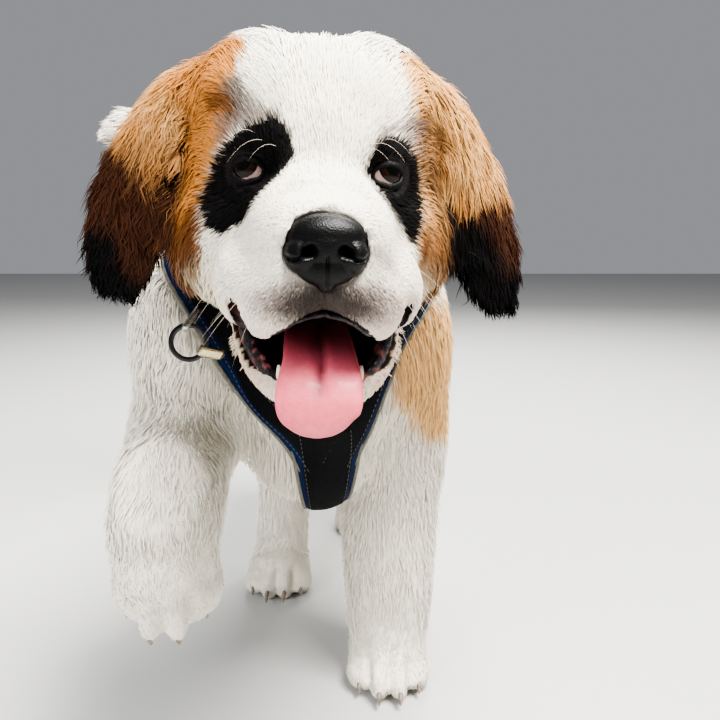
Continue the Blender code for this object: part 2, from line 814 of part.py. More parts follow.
def nose_pad():
    """The pad of the nose, with a wing round each nostril and a point under it."""
    tip = NOSE_TIP
    shapes = [((0, tip + 0.0160, -0.0445), (0.0232, 0.0170, 0.0165))]
    shapes.append(((0, tip + 0.0135, -0.0395), (0.0222, 0.0145, 0.0130)))
    shapes.append(((0, tip + 0.0085, -0.0600), (0.0085, 0.0085, 0.0095)))
    for side in (1, -1):
        shapes.append(((side * 0.0125, tip + 0.0120, -0.0490), (0.0105, 0.0122, 0.0112)))
    pieces = [ellipsoid(centre, radii) for centre, radii in shapes]
    return thin_out(onto_head(fuse("nose", pieces, 0.0010, 6)), 260)


def cut_nostrils(nose):
    """Both nostrils, each with the slit that runs out of it round the wing of the nose."""
    tip = NOSE_TIP
    for side in (1, -1):
        nostril = [
            (side * 0.0098, tip - 0.0030, -0.0475, 0.0034, 0.0030),
            (side * 0.0100, tip + 0.0060, -0.0470, 0.0027, 0.0025),
            (side * 0.0098, tip + 0.0105, -0.0468, 0.0012, 0.0012),
        ]
        slit = [
            (side * 0.0110, tip - 0.0015, -0.0492, 0.0012, 0.0030),
            (side * 0.0165, tip + 0.0010, -0.0520, 0.0010, 0.0030),
            (side * 0.0240, tip + 0.0070, -0.0530, 0.0010, 0.0030),
        ]
        cutters = [loft(nostril, around=8, steps=1), loft(slit, side=(0, 0, 1), around=6, steps=1)]
        for cutter in cutters:
            combine(nose, onto_head(cutter), "DIFFERENCE")
            bpy.data.objects.remove(cutter)
    return keep_largest(nose)


def build_tongue():
    """The tongue, laid along the floor of the mouth and hung over the lip, with its middle groove."""
    length = [
        (0.000, 0.018, -0.092, 0.014, 0.0060),
        (0.000, -0.010, -0.098, 0.020, 0.0062),
        (0.000, -0.035, -0.106, 0.0215, 0.0056),
        (0.000, -0.056, -0.1125, 0.0220, 0.0048),
        (-0.001, -0.074, -0.119, 0.0235, 0.0043),
        (-0.002, -0.083, -0.129, 0.0240, 0.0040),
        (-0.003, -0.086, -0.140, 0.0215, 0.0038),
        (-0.003, -0.086, -0.1475, 0.0130, 0.0030),
    ]
    tongue = loft(length, around=10, steps=2, square=2.3)
    groove = [(x, y - 0.0022, z + d * 0.95, 0.0012, 0.0022) for x, y, z, w, d in length[:6]]
    cutter = loft(groove, around=4, steps=1)
    combine(tongue, cutter, "DIFFERENCE")
    bpy.data.objects.remove(cutter)
    tongue.name = "tongue"
    return onto_head(keep_largest(tongue))


def part_jaw(head):
    """The lower jaw, parted at the corners of the mouth and down through the throat."""
    corner = MOUTH_CORNER
    outline = [
        (corner.y + 0.002, corner.z), (-0.070, -0.114), (-0.130, -0.135),
        (-0.130, -0.220), (0.085, -0.220), (0.085, -0.140),
    ]
    jaw = copy_of(head, "jaw")
    below = onto_head(prism(outline, 0.12))
    combine(jaw, below, "INTERSECT")
    keep_largest(jaw)
    cut_away(head, below)
    bpy.data.objects.remove(below)
    teeth = []
    for side in (1, -1):
        canine = [
            (side * 0.0240, -0.050, -0.1330, 0.0032, 0.0036),
            (side * 0.0252, -0.0525, -0.1240, 0.0027, 0.0030),
            (side * 0.0258, -0.0520, -0.1160, 0.0008, 0.0009),
        ]
        teeth.append(onto_head(loft(canine, around=8, steps=1)))
    unite(jaw, teeth)
    return jaw


# Each row: front edge of the ear, back edge, bow of the flap and thickness
EAR = [
    ((0.050, 0.040, 0.068), (0.044, 0.092, 0.072), 0.002, 0.012),
    ((0.072, 0.038, 0.068), (0.082, 0.092, 0.074), 0.004, 0.013),
    ((0.089, 0.040, 0.041), (0.116, 0.094, 0.050), 0.007, 0.013),
    ((0.094, 0.044, 0.006), (0.142, 0.092, 0.014), 0.008, 0.013),
    ((0.096, 0.047, -0.028), (0.158, 0.086, -0.022), 0.008, 0.012),
    ((0.101, 0.049, -0.058), (0.167, 0.080, -0.056), 0.007, 0.011),
    ((0.112, 0.050, -0.084), (0.168, 0.074, -0.084), 0.004, 0.009),
    ((0.132, 0.052, -0.106), (0.155, 0.062, -0.106), 0.002, 0.005),
]


EAR_FLESH = 0.60         # share of the way down the ear where its flap ends inside the hair
EAR_TIERS = [(0.12, 0.54, 3), (0.28, 0.80, 4), (0.44, 1.00, 5)]   # roots, tips and count of each tier


def ear_frames(side, length, flare, bulge, steps=2):
    """Centre, half width vector, outward direction, bow and thickness at each step down an ear."""
    rows = even_rows([(*front, *back, *sizes) for front, back, *sizes in EAR], steps)
    edges = []
    for i, row in enumerate(rows):
        share = i / (len(rows) - 1)
        out = flare * share + bulge * sin(pi * share)
        pair = []
        for (x, y, z), follow in ((row[:3], 0.3), (row[3:6], 1.0)):
            pair.append(Vector((side * (x + out * follow), y, z * length if z < 0 else z)))
        edges.append(pair)
    centres = [(front + back) / 2 for front, back in edges]
    frames = []
    for i, (front, back) in enumerate(edges):
        half = (back - front) / 2
        out = heading(centres, i).cross(half).normalized() * side
        frames.append((centres[i], half, out, rows[i][6], rows[i][7]))
    return frames


def ear_flap(frames):
    """The flap of an ear: bowed outwards, hollow on its inner face as a cup, and short of the hair."""
    last = EAR_FLESH * (len(frames) - 1)
    rings = []
    for i, (centre, half, out, bow, thick) in enumerate(frames[: int(last) + 1]):
        narrow = 0.97 - 0.62 * (i / last) ** 3
        thick *= 1 - 0.7 * (i / last) ** 6
        outer, inner = [], []
        for t in np.linspace(-1, 1, 6):
            skin = centre + half * t * narrow + out * bow * (1 - t * t)
            outer.append(skin + out * thick * (0.5 - 0.4 * t**4))
            inner.append(skin - out * thick * (0.5 - 0.4 * t**4))
        rings.append(outer + inner[::-1])
    return skin_rings("ear_flap", rings)


def ear_point(frames, down, across, lift):
    """A point by its share down an ear, its place from edge to edge, and its lift in thicknesses."""
    place = min(1, down) * (len(frames) - 1)
    low = min(int(place), len(frames) - 2)
    share = place - low
    centre, half, out, bow, thick = [a + (b - a) * share for a, b in zip(frames[low], frames[low + 1])]
    return centre + half * across + out * (bow * max(0, 1 - across * across) + thick * lift)


def ear_locks(frames):
    """Tiers of wavy locks down the outer face and both edges of an ear, the last tier to its tip."""
    locks = []
    for tier, (root, tip, count) in enumerate(EAR_TIERS):
        for k in range(count):
            start = -0.78 + 1.56 * k / (count - 1)
            end = root + (tip - root) * random.uniform(0.86, 1.0)
            sway = random.uniform(-0.10, 0.10)
            rise = 0.82 - 0.28 * tier
            path = []
            for s in np.linspace(0, 1, LOCK_STEPS):
                spread = 1 + (0.30 - 0.20 * tier) * s
                across = start * spread + sway * sin(2 * pi * s)
                lift = rise * eased_step(s * 2.4) * (1 - 0.25 * s)
                path.append(ear_point(frames, root + (end - root) * s, across, lift))
            side = frames[len(frames) // 2][1].normalized()
            locks.append(lock(path, side, *EAR_LOCK))
    return locks


def build_ear(name, side, length, flare, bulge):
    """A hanging ear, its flap covered with locks out to their tips."""
    frames = ear_frames(side, length, flare, bulge)
    ear = unite(ear_flap(frames), ear_locks(frames))
    ear.name = name
    return onto_head(ear)


# The harness, laid on the coat


def lay_strap(name, tree, rows, core, closed=False, thick=PADDING, across_count=4, steps=2):
    """A padded strap through rows of (x, y, z, half width), dropped onto the coat towards a core line."""
    rows = even_rows(rows, steps)
    if closed:
        rows = rows[:-1]
    count = len(rows)
    inwards, centres = [], []
    for row in rows:
        point = Vector(row[:3])
        start, end = core
        span = end - start
        share = min(1, max(0, (point - start).dot(span) / span.dot(span)))
        inward = (start + span * share - point).normalized()
        hit = tree.ray_cast(point - inward * 0.05, inward)[0]
        centres.append(hit or point)
        inwards.append(inward)
    spread = np.linspace(-1, 1, across_count)
    grid = []
    for i, centre in enumerate(centres):
        along = (centres[(i + 1) % count] - centres[i - 1]).normalized() if closed else heading(centres, i)
        across = along.cross(inwards[i]).normalized()
        line = []
        for t in spread:
            start = centre + across * rows[i][3] * t - inwards[i] * 0.03
            hit = tree.ray_cast(start, inwards[i], 0.07)[0]
            line.append(hit or start + inwards[i] * 0.03)
        grid.append(line)
    ease_grid(grid, closed)
    for line, inward in zip(grid, inwards):
        for k, point in enumerate(line):
            line[k] = clear_of(tree, point, inward, STRAP_CLEAR)
    rings = []
    for line, inward in zip(grid, inwards):
        outer = [p - inward * thick * (1 - 0.4 * t**4) for p, t in zip(line, spread)]
        rings.append(outer + line[::-1])
    if closed:
        return ring_round(name, rings)
    made = skin_rings(name, rings)
    made.name = name
    return made


def ease_grid(grid, closed):
    """Evens out a grid of points along its length."""
    count = len(grid)
    for _ in range(3):
        old = [list(line) for line in grid]
        for i in range(0 if closed else 1, count if closed else count - 1):
            for k in range(len(grid[i])):
                grid[i][k] = (old[i - 1][k] + 2 * old[i][k] + old[(i + 1) % count][k]) / 4


def clear_of(tree, point, inward, gap):
    """The point moved outwards until it lies at least a gap away from the surface, and close to it."""
    for _ in range(24):
        near, normal, _, distance = tree.find_nearest(point)
        outside = (point - near).dot(normal) > 0
        if outside and distance >= gap:
            break
        point = point - inward * (0.0004 if outside else 0.0004 + distance * 0.6)
    return point


def ring_round(name, rings):
    """A closed band through rings of points."""
    form = bmesh.new()
    rows = [[form.verts.new(point) for point in ring] for ring in rings]
    count = len(rows[0])
    for i, low in enumerate(rows):
        high = rows[(i + 1) % len(rows)]
        for k in range(count):
            n = (k + 1) % count
            form.faces.new((low[k], low[n], high[n], high[k]))
    bmesh.ops.recalc_face_normals(form, faces=form.faces)
    return add_object(name, form)


def torus(centre, normal, radius, wire, around=28, section=8):
    turn = normal.to_track_quat("Z", "Y").to_matrix()
    rings = []
    for i in range(around):
        a = 2 * pi * i / around
        ring = []
        for k in range(section):
            b = 2 * pi * k / section
            reach = radius + wire * cos(b)
            ring.append(centre + turn @ Vector((reach * cos(a), reach * sin(a), wire * sin(b))))
        rings.append(ring)
    return ring_round("torus", rings)


CORE = (Vector((0.005, -0.110, 0.340)), Vector((0.0, 0.100, 0.345)))
RIGHT_STRAP = [
    (0.012, -0.240, 0.262, 0.020),
    (-0.001, -0.243, 0.287, 0.0185),
    (-0.019, -0.248, 0.307, 0.0160),
    (-0.042, -0.246, 0.324, 0.0150),
    (-0.052, -0.252, 0.346, 0.0145),
    (-0.062, -0.258, 0.374, 0.0145),
    (-0.074, -0.252, 0.402, 0.0145),
    (-0.092, -0.218, 0.428, 0.0145),
    (-0.096, -0.170, 0.453, 0.0145),
    (-0.078, -0.125, 0.474, 0.0145),
    (-0.046, -0.088, 0.485, 0.0145),
]
LEFT_STRAP = [
    (0.022, -0.235, 0.262, 0.019),
    (0.032, -0.243, 0.287, 0.0185),
    (0.042, -0.250, 0.312, 0.0160),
    (0.052, -0.250, 0.337, 0.0150),
    (0.064, -0.246, 0.362, 0.0145),
    (0.082, -0.235, 0.386, 0.0145),
    (0.100, -0.205, 0.412, 0.0145),
    (0.102, -0.165, 0.442, 0.0145),
    (0.078, -0.125, 0.470, 0.0145),
    (0.046, -0.088, 0.485, 0.0145),
]
BREAST_PANEL = [
    (0.004, -0.120, 0.205, 0.0145),
    (0.010, -0.165, 0.208, 0.0160),
    (0.014, -0.205, 0.218, 0.0205),
    (0.016, -0.232, 0.243, 0.0245),
    (0.017, -0.243, 0.275, 0.0300),
    (0.015, -0.250, 0.300, 0.0300),
]
GIRTH = [
    (0.000, -0.050, 0.200, 0.0145),
    (0.070, -0.052, 0.225, 0.0145),
    (0.122, -0.050, 0.290, 0.0145),
    (0.124, -0.045, 0.370, 0.0145),
    (0.080, -0.040, 0.445, 0.0145),
    (0.000, -0.040, 0.475, 0.0145),
    (-0.080, -0.040, 0.445, 0.0145),
    (-0.124, -0.045, 0.370, 0.0145),
    (-0.122, -0.050, 0.290, 0.0145),
    (-0.070, -0.052, 0.225, 0.0145),
    (0.000, -0.050, 0.200, 0.0145),
]
BELLY_STRAP = [
    (0.004, -0.122, 0.205, 0.0140),
    (0.002, -0.085, 0.205, 0.0140),
    (0.000, -0.048, 0.205, 0.0140),
]
BACK_PAD = [
    (0.000, -0.105, 0.490, 0.036),
    (0.000, -0.080, 0.480, 0.045),
    (0.000, -0.040, 0.470, 0.046),
    (0.000, 0.010, 0.470, 0.040),
    (0.000, 0.035, 0.470, 0.028),
]


def build_harness(surface, flesh):
    """Breast panel with its shoulder straps, girth with its belly strap, back pad, ring, link and keeper."""
    graph = bpy.context.evaluated_depsgraph_get()
    tree = BVHTree.FromObject(surface, graph)
    front = lay_strap("harness_front", tree, BREAST_PANEL, CORE, across_count=5)
    right = lay_strap("right_strap", tree, RIGHT_STRAP, CORE, across_count=3)
    left = lay_strap("left_strap", tree, LEFT_STRAP, CORE, across_count=3)
    unite(front, [right, left])
    girth = lay_strap("harness_girth", tree, GIRTH, CORE, closed=True)
    unite(girth, [lay_strap("belly_strap", tree, BELLY_STRAP, CORE)])
    pad = lay_strap("harness_back_pad", tree, BACK_PAD, CORE, thick=0.0080, across_count=5)
    for strap in (front, girth):
        cut_away(strap, pad, GAP * 2.5)
    cut_away(front, girth, GAP * 2.5)

    ring = torus(RING_AT, Vector((0.18, -0.97, 0.12)), RING_RADIUS, RING_WIRE, 20, 6)
    ring.name = "harness_ring"
    keeper_at = RING_AT + Vector((0.0114, 0.001, -0.0074))
    keeper = fittings("ring_keeper", keeper_at, Vector((0.009, 0.010, -0.004)))
    link_at = RING_AT + Vector((-0.001, 0.001, 0.0136))
    link = fittings("ring_link", link_at, Vector((0.004, 0.012, 0.008)))
    for piece in (front, girth, pad):
        for limb in flesh:
            if touching(piece, limb):
                cut_away(piece, limb, GAP * 3)
    for piece in (keeper, link):
        for other in [ring, front] + flesh:
            if touching(piece, other):
                cut_away(piece, other, GAP * 1.5)
    return [front, girth, pad, ring, keeper, link]


def touching(one, other):
    graph = bpy.context.evaluated_depsgraph_get()
    return bool(BVHTree.FromObject(one, graph).overlap(BVHTree.FromObject(other, graph)))


def fittings(name, centre, reach, half=0.0046, depth=0.0036):
    """A rounded tab that wraps the ring at its centre and reaches towards its strap."""
    rows = [
        (*(centre - reach * 0.36), half * 0.62, depth * 0.55),
        (*(centre - reach * 0.24), half, depth),
        (*(centre + reach * 0.40), half, depth),
        (*(centre + reach * 1.30), half * 0.95, depth * 0.90),
    ]
    made = loft(rows, side=(0.6, 0, 0.8), around=10, steps=1, square=3.0)
    made.name = name
    return made


def dress(thing, name, shade):
    """Names a finished solid, colours it and shows it."""
    thing.name = name
    thing.data.name = name
    thing.data.materials.clear()
    thing.data.materials.append(shade)
    for old in list(thing.users_collection):
        old.objects.unlink(thing)
    PUPPY.objects.link(thing)


def centre_on_origin():
    """Moves everything so that the origin lies under the middle of the whole, on the floor."""
    corners = [v.co for thing in PUPPY.objects for v in thing.data.vertices]
    low = Vector([min(c[i] for c in corners) for i in range(3)])
    high = Vector([max(c[i] for c in corners) for i in range(3)])
    shift = Vector((-(low.x + high.x) / 2, -(low.y + high.y) / 2, -low.z))
    for thing in PUPPY.objects:
        thing.data.transform(Matrix.Translation(shift))
    return shift


def build():
    random.seed(SEED)
    whole = build_whole()
    head, torso = part_head(whole)
    surface = copy_of(torso, "surface")
    limbs = build_limbs(torso)
    jaw = part_jaw(head)
    add_lids(head)
    nose, tongue = nose_pad(), build_tongue()
    cut_away(head, nose, GAP * 1.6)
    cut_nostrils(nose)
    for part in (head, jaw):
        cut_away(part, tongue)
    eyes = [eyeball("eye_left", 1, EYE_RADIUS), eyeball("eye_right", -1, EYE_RADIUS)]
    ears = [build_ear("ear_left", 1, 1.0, 0.001, 0.0), build_ear("ear_right", -1, 0.90, -0.006, 0.010)]
    for ear in ears:
        cut_away(ear, head)
    harness = build_harness(surface, [torso] + limbs)
    bpy.data.objects.remove(surface)

    dress(head, "head", WHITE_COAT)
    dress(jaw, "jaw", WHITE_COAT)
    dress(torso, "torso", RED_COAT)
    for limb in limbs:
        dress(limb, limb.name, WHITE_COAT)
    for ear, name in zip(ears, ("ear_left", "ear_right")):
        dress(ear, name, DARK_COAT)
    for eye, name in zip(eyes, ("eye_left", "eye_right")):
        dress(eye, name, EYE_BROWN)
    dress(nose, "nose", NOSE_LEATHER)
    dress(tongue, "tongue", TONGUE_PINK)
    shades = [WEBBING, WEBBING, WEBBING, BLACK_RING, STEEL, STEEL]
    for piece, shade in zip(harness, shades):
        dress(piece, piece.name, shade)
    for thing in list(TOOLS.objects):
        bpy.data.objects.remove(thing)
    return centre_on_origin()


if __name__ == "__main__":
    SHIFT = build()
    for thing in PUPPY.objects:
        thing.data.calc_loop_triangles()
        print(thing.name, len(thing.data.loop_triangles))
    print("moved by", [round(v, 4) for v in SHIFT])
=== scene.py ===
# %% [markdown]
# # A Saint Bernard puppy in its coat
#
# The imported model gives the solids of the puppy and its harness. This lesson puts the looks on
# them: a skin, a coat of many small tufts, the eyes, the nose, the mouth and the harness.
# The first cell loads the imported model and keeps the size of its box. All random draws come from
# one generator with a fixed seed, so the coat is the same at every run.

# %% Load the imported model
from collections import namedtuple
from itertools import product
from math import cos, pi, radians, sin

import bmesh
import bpy
import numpy as np
from mathutils import Matrix, Vector
from mathutils.bvhtree import BVHTree


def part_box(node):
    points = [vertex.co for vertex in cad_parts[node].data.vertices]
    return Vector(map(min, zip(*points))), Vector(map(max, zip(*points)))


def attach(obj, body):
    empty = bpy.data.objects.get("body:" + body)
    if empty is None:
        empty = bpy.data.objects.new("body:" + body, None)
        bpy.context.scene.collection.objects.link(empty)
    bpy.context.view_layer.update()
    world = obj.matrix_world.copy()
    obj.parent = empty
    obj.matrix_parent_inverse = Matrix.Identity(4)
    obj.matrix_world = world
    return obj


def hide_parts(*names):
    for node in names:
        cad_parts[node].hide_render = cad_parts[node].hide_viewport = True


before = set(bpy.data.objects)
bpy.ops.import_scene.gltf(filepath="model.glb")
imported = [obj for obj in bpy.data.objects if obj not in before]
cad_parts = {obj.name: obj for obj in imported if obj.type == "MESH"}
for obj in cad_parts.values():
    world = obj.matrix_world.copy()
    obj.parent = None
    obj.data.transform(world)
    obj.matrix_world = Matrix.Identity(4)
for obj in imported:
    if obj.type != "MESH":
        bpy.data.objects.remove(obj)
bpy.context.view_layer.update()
bpy.ops.object.select_all(action="DESELECT")
SEED = 20
rng = np.random.default_rng(SEED)

# %% [markdown]
# The head has a frame of its own, because it is turned and leans a little. Its origin lies midway
# between the eyes, x runs to the puppy's left, y to the back of the skull and z up. It could be
# copied as numbers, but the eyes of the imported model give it, so the two can't drift apart. The
# body's frame is the puppy's mid-plane, with the floor at zero.

# %% The frames of the head and of the body
EYE_DEEP = 0.0025  # how far the eyeballs lie behind the head's origin
HEAD_AT = Vector((0.018, -0.360, 0.496))  # the head's origin in the body's frame


def middle(node):
    low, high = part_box(node)
    return (low + high) / 2


left_eye, right_eye = middle("eye_left"), middle("eye_right")
to_left = (left_eye - right_eye).normalized()
to_back = Vector((0, 0, 1)).cross(to_left).normalized()
head_origin = (left_eye + right_eye) / 2 - to_back * EYE_DEEP
turn = Matrix((to_left, to_back, to_left.cross(to_back))).transposed()
HEAD = Matrix.Translation(head_origin) @ turn.to_4x4()
BODY = Matrix.Translation(head_origin - HEAD_AT)
SIDES = {"left": 1, "right": -1}  # the sign of x on each side


def place(matrix, points):
    """Points of a frame, as an array, in the model's frame."""
    m = np.array(matrix)
    return np.asarray(points, float) @ m[:3, :3].T + m[:3, 3]


def turned(matrix, directions):
    """Directions of a frame, as an array, in the model's frame."""
    return np.asarray(directions, float) @ np.array(matrix)[:3, :3].T


def into(matrix, points):
    """Points of the model's frame, as an array, in another frame."""
    return place(matrix.inverted(), points)


print("eyes", round((left_eye - right_eye).length * 1000, 1), "mm apart, head at", head_origin)

# %% [markdown]
# The camera stands where the photograph's did, level with the head and tilted down a little. The
# floor is plain and pale. A picture of a sky could light the model, but wide soft lamps do what an
# overcast sky does and can be set one by one.

# %% Camera, floor and light
CAMERA_AT = (0.045, -0.840, 0.460)
CAMERA_DOWN = 10.2  # degrees
LENS = 36.1  # mm
SENSOR = 36  # mm across
FLOOR_SIZE = 14
LAMPS = {
    "key": ((0.85, -0.75, 2.5), 1.2, 290, (1.0, 0.975, 0.94)),
    "fill": ((-1.5, -1.8, 1.3), 1.6, 75, (0.95, 0.975, 1.0)),
    "back": ((0.3, 1.9, 2.2), 1.3, 150, (1.0, 0.99, 0.97)),
}  # place, width, watts and colour
LAMPS_AIM = Vector((0, -0.15, 0.35))
SKY = ((0.93, 0.95, 1.0, 1), 0.30)  # colour and strength
PLAIN = (0.8, 0.8, 0.8)  # where the colour comes from elsewhere


def make_material(name, colour=PLAIN, roughness=0.5, metallic=0.0, specular=0.5):
    """A Principled material, with its nodes and its shader handed back."""
    made = bpy.data.materials.new(name)
    made.use_nodes = True
    nodes, links = made.node_tree.nodes, made.node_tree.links
    shader = nodes["Principled BSDF"]
    shader.inputs["Base Color"].default_value = (*colour, 1)
    shader.inputs["Roughness"].default_value = roughness
    shader.inputs["Metallic"].default_value = metallic
    shader.inputs["Specular IOR Level"].default_value = specular
    return made, nodes, links, shader


def add_object(name, data):
    made = bpy.data.objects.new(name, data)
    bpy.context.scene.collection.objects.link(made)
    return made


def add_camera():
    lens = bpy.data.cameras.new("camera")
    lens.lens = LENS
    lens.sensor_width = SENSOR
    lens.clip_start = 0.02
    camera = add_object("camera", lens)
    camera.location = BODY @ Vector(CAMERA_AT)
    camera.rotation_euler = (radians(90 - CAMERA_DOWN), 0, 0)
    bpy.context.scene.camera = camera


def add_lamp(name, at, width, watts, colour):
    lamp = bpy.data.lights.new(name, "AREA")
    lamp.size = width
    lamp.energy = watts
    lamp.color = colour
    made = add_object(name, lamp)
    made.location = at
    made.rotation_euler = (LAMPS_AIM - Vector(at)).to_track_quat("-Z", "Y").to_euler()
    return made


def add_floor():
    bpy.ops.mesh.primitive_plane_add(size=FLOOR_SIZE, location=(0, 0, 0))
    floor = bpy.context.object
    floor.name = "floor"
    floor.data.materials.append(make_material("floor_paint", (0.44, 0.44, 0.43), 0.85, specular=0.2)[0])
    floor.select_set(False)


def add_sky():
    sky = bpy.data.worlds.new("sky")
    sky.use_nodes = True
    for socket, value in zip(sky.node_tree.nodes["Background"].inputs, SKY):
        socket.default_value = value
    bpy.context.scene.world = sky


add_camera()
add_floor()
add_sky()
lamps = {name: add_lamp(name, *settings) for name, settings in LAMPS.items()}
lamps["fill"].visible_glossy = False  # so that it leaves no window in the eyes
bpy.context.scene.view_settings.look = "AgX - Medium High Contrast"
print("camera, floor, sky and", len(lamps), "lamps")

# %% [markdown]
# Ears, tail, tongue, lips and straps could each be pulled from a cube, but they change their width
# all the way along, so they are drawn as lofts: a few rows of numbers give the size at stations, a
# smooth curve fills in between them, and rings of points are joined into a closed mesh. These
# helpers are used by most of the steps that follow.

# %% Helpers for meshes
def even_rows(rows, steps):
    """Rows of numbers, with a smooth curve drawn through them."""
    rows = np.array(rows, float)
    padded = np.vstack([2 * rows[0] - rows[1], rows, 2 * rows[-1] - rows[-2]])
    made = []
    for i in range(1, len(padded) - 2):
        a, b, c, d = padded[i - 1 : i + 3]
        for t in np.arange(steps) / steps:
            squared = (2 * a - 5 * b + 4 * c - d) * t**2
            cubed = (3 * b - a - 3 * c + d) * t**3
            made.append(0.5 * (2 * b + (c - a) * t + squared + cubed))
    return np.array(made + [rows[-1]])


def add_mesh(name, form):
    """An object from a bmesh, which is used up."""
    mesh = bpy.data.meshes.new(name)
    form.to_mesh(mesh)
    form.free()
    return add_object(name, mesh)


def skin_rings(name, rings, closed=False):
    """A closed form through rings of points that all have the same count."""
    form = bmesh.new()
    rows = [[form.verts.new(point) for point in ring] for ring in rings]
    count = len(rows[0])
    followers = rows[1:] + rows[:1] if closed else rows[1:]
    for low, high in zip(rows, followers):
        for k in range(count):
            n = (k + 1) % count
            form.faces.new((low[k], low[n], high[n], high[k]))
    if not closed:
        for ring in (rows[0], rows[-1]):
            middle_point = form.verts.new(sum((v.co for v in ring), Vector()) / count)
            for k in range(count):
                form.faces.new((ring[k], ring[(k + 1) % count], middle_point))
    bmesh.ops.recalc_face_normals(form, faces=form.faces)
    return add_mesh(name, form)


def heading(centres, i):
    """The direction of a chain of points at one of them."""
    return (centres[min(i + 1, len(centres) - 1)] - centres[max(i - 1, 0)]).normalized()


def loft(name, stations, frame_of, side=(1, 0, 0), around=20, steps=3, square=2.0):
    """A closed tube through stations of (x, y, z, half width, half depth); the width lies along side."""
    rows = even_rows(stations, steps)
    centres = [Vector(r[:3]) for r in rows]
    rings = []
    for i, row in enumerate(rows):
        along = heading(centres, i)
        across = Vector(side)
        across = (across - across.dot(along) * along).normalized()
        up = along.cross(across)
        ring = []
        for k in range(around):
            turn_by = cos(2 * pi * k / around), sin(2 * pi * k / around)
            c, s = (abs(v) ** (2 / square) * (1 if v >= 0 else -1) for v in turn_by)
            ring.append(frame_of @ (centres[i] + across * row[3] * c + up * row[4] * s))
        rings.append(ring)
    return skin_rings(name, rings)


def join(name, pieces):
    """One object from several."""
    form = bmesh.new()
    for piece in pieces:
        form.from_mesh(piece.data)
        bpy.data.objects.remove(piece)
    return add_mesh(name, form)


def settle(thing):
    """Applies every modifier of an object, in order."""
    bpy.context.view_layer.objects.active = thing
    thing.select_set(True)
    for modifier in list(thing.modifiers):
        bpy.ops.object.modifier_apply(modifier=modifier.name)
    thing.select_set(False)
    return thing


def eased(thing, factor, passes):
    """A mesh with its creases smoothed away."""
    smooth = thing.modifiers.new("smooth", "SMOOTH")
    smooth.factor = factor
    smooth.iterations = passes
    return settle(thing)


def fused(thing, grid, passes):
    """One smooth closed mesh from forms that overlap."""
    remesh = thing.modifiers.new("remesh", "REMESH")
    remesh.mode = "VOXEL"
    remesh.voxel_size = grid
    return eased(thing, 0.5, passes)


def mesh_arrays(thing):
    """Places and normals of an object's vertices."""
    count = len(thing.data.vertices)
    places, normals = np.empty(count * 3), np.empty(count * 3)
    thing.data.vertices.foreach_get("co", places)
    thing.data.vertex_normals.foreach_get("vector", normals)
    return places.reshape(-1, 3), normals.reshape(-1, 3)


def move_points(thing, places):
    thing.data.vertices.foreach_set("co", places.ravel())
    thing.data.update()


def finish_piece(thing, material, replaced=(), smooth=True):
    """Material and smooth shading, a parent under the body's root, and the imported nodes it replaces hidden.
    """
    thing.data.materials.append(material)
    if smooth:
        thing.data.shade_smooth()
    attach(thing, "root")
    if replaced:
        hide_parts(*replaced)


print("helpers for lofts, fused forms and finished pieces")

# %% [markdown]
# The ears hang from the sides of the skull. Each is a flap of skin, bowed outwards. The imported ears
# carry their long hair in their outline, so a thinner flap is drawn anew: its rows give the front
# edge, the back edge, the bow and the thickness, in metres in the head's frame. The tail is a chain
# of stations from its root to its tip, for the same reason.

# %% Frames of the ears and of the tail
EAR_ROWS = [
    ((0.050, 0.040, 0.068), (0.044, 0.092, 0.072), 0.002, 0.012),
    ((0.072, 0.038, 0.068), (0.082, 0.092, 0.074), 0.004, 0.013),
    ((0.089, 0.040, 0.041), (0.116, 0.094, 0.050), 0.007, 0.013),
    ((0.094, 0.044, 0.006), (0.142, 0.092, 0.014), 0.008, 0.013),
    ((0.096, 0.047, -0.028), (0.158, 0.086, -0.022), 0.008, 0.012),
    ((0.101, 0.049, -0.058), (0.167, 0.080, -0.056), 0.007, 0.011),
    ((0.112, 0.050, -0.084), (0.168, 0.074, -0.084), 0.004, 0.009),
    ((0.132, 0.052, -0.106), (0.155, 0.062, -0.106), 0.002, 0.005),
]
EARS = {"left": (1.0, 0.001, 0.0), "right": (0.90, -0.006, 0.010)}  # length, flare and bulge
EAR_STEPS = 3  # stations to each row
EAR_SKIN = 0.95  # share of the ear's length that its skin reaches
FRONT_REACH = 0.012  # how far the flap's front edge closes on the cheek
EAR_THIN = 0.42  # its skin's thickness, as a share of the coat's
TAIL_ROWS = [
    (0.000, 0.200, 0.405, 0.040),
    (-0.004, 0.250, 0.436, 0.032),
    (-0.030, 0.282, 0.488, 0.031),
    (-0.084, 0.286, 0.540, 0.032),
    (-0.150, 0.264, 0.578, 0.034),
    (-0.215, 0.228, 0.596, 0.033),
    (-0.268, 0.192, 0.598, 0.0275),
    (-0.302, 0.164, 0.582, 0.0125),
]
TAIL_CORE = 0.62  # its flesh, as a share of its coat's radius
TAIL_END = 0.30  # the same at its tip


def ear_stations(side, length, flare, bulge):
    """Centre, half width, outward direction, bow and thickness at each step down an ear."""
    rows = even_rows([(*front, *back, *sizes) for front, back, *sizes in EAR_ROWS], EAR_STEPS)
    edges = []
    for i, row in enumerate(rows):
        share = i / (len(rows) - 1)
        out = flare * share + bulge * sin(pi * share)
        pair = []
        for (x, y, z), follow in ((row[:3], 0.3), (row[3:6], 1.0)):
            pair.append(Vector((side * (x + out * follow), y, z * length if z < 0 else z)))
        edges.append(pair)
    centres = [(front + back) / 2 for front, back in edges]
    stations = []
    for i, (front, back) in enumerate(edges):
        half = (back - front) / 2
        out = heading(centres, i).cross(half).normalized() * side
        stations.append((centres[i], half, out, rows[i][6], rows[i][7]))
    return stations


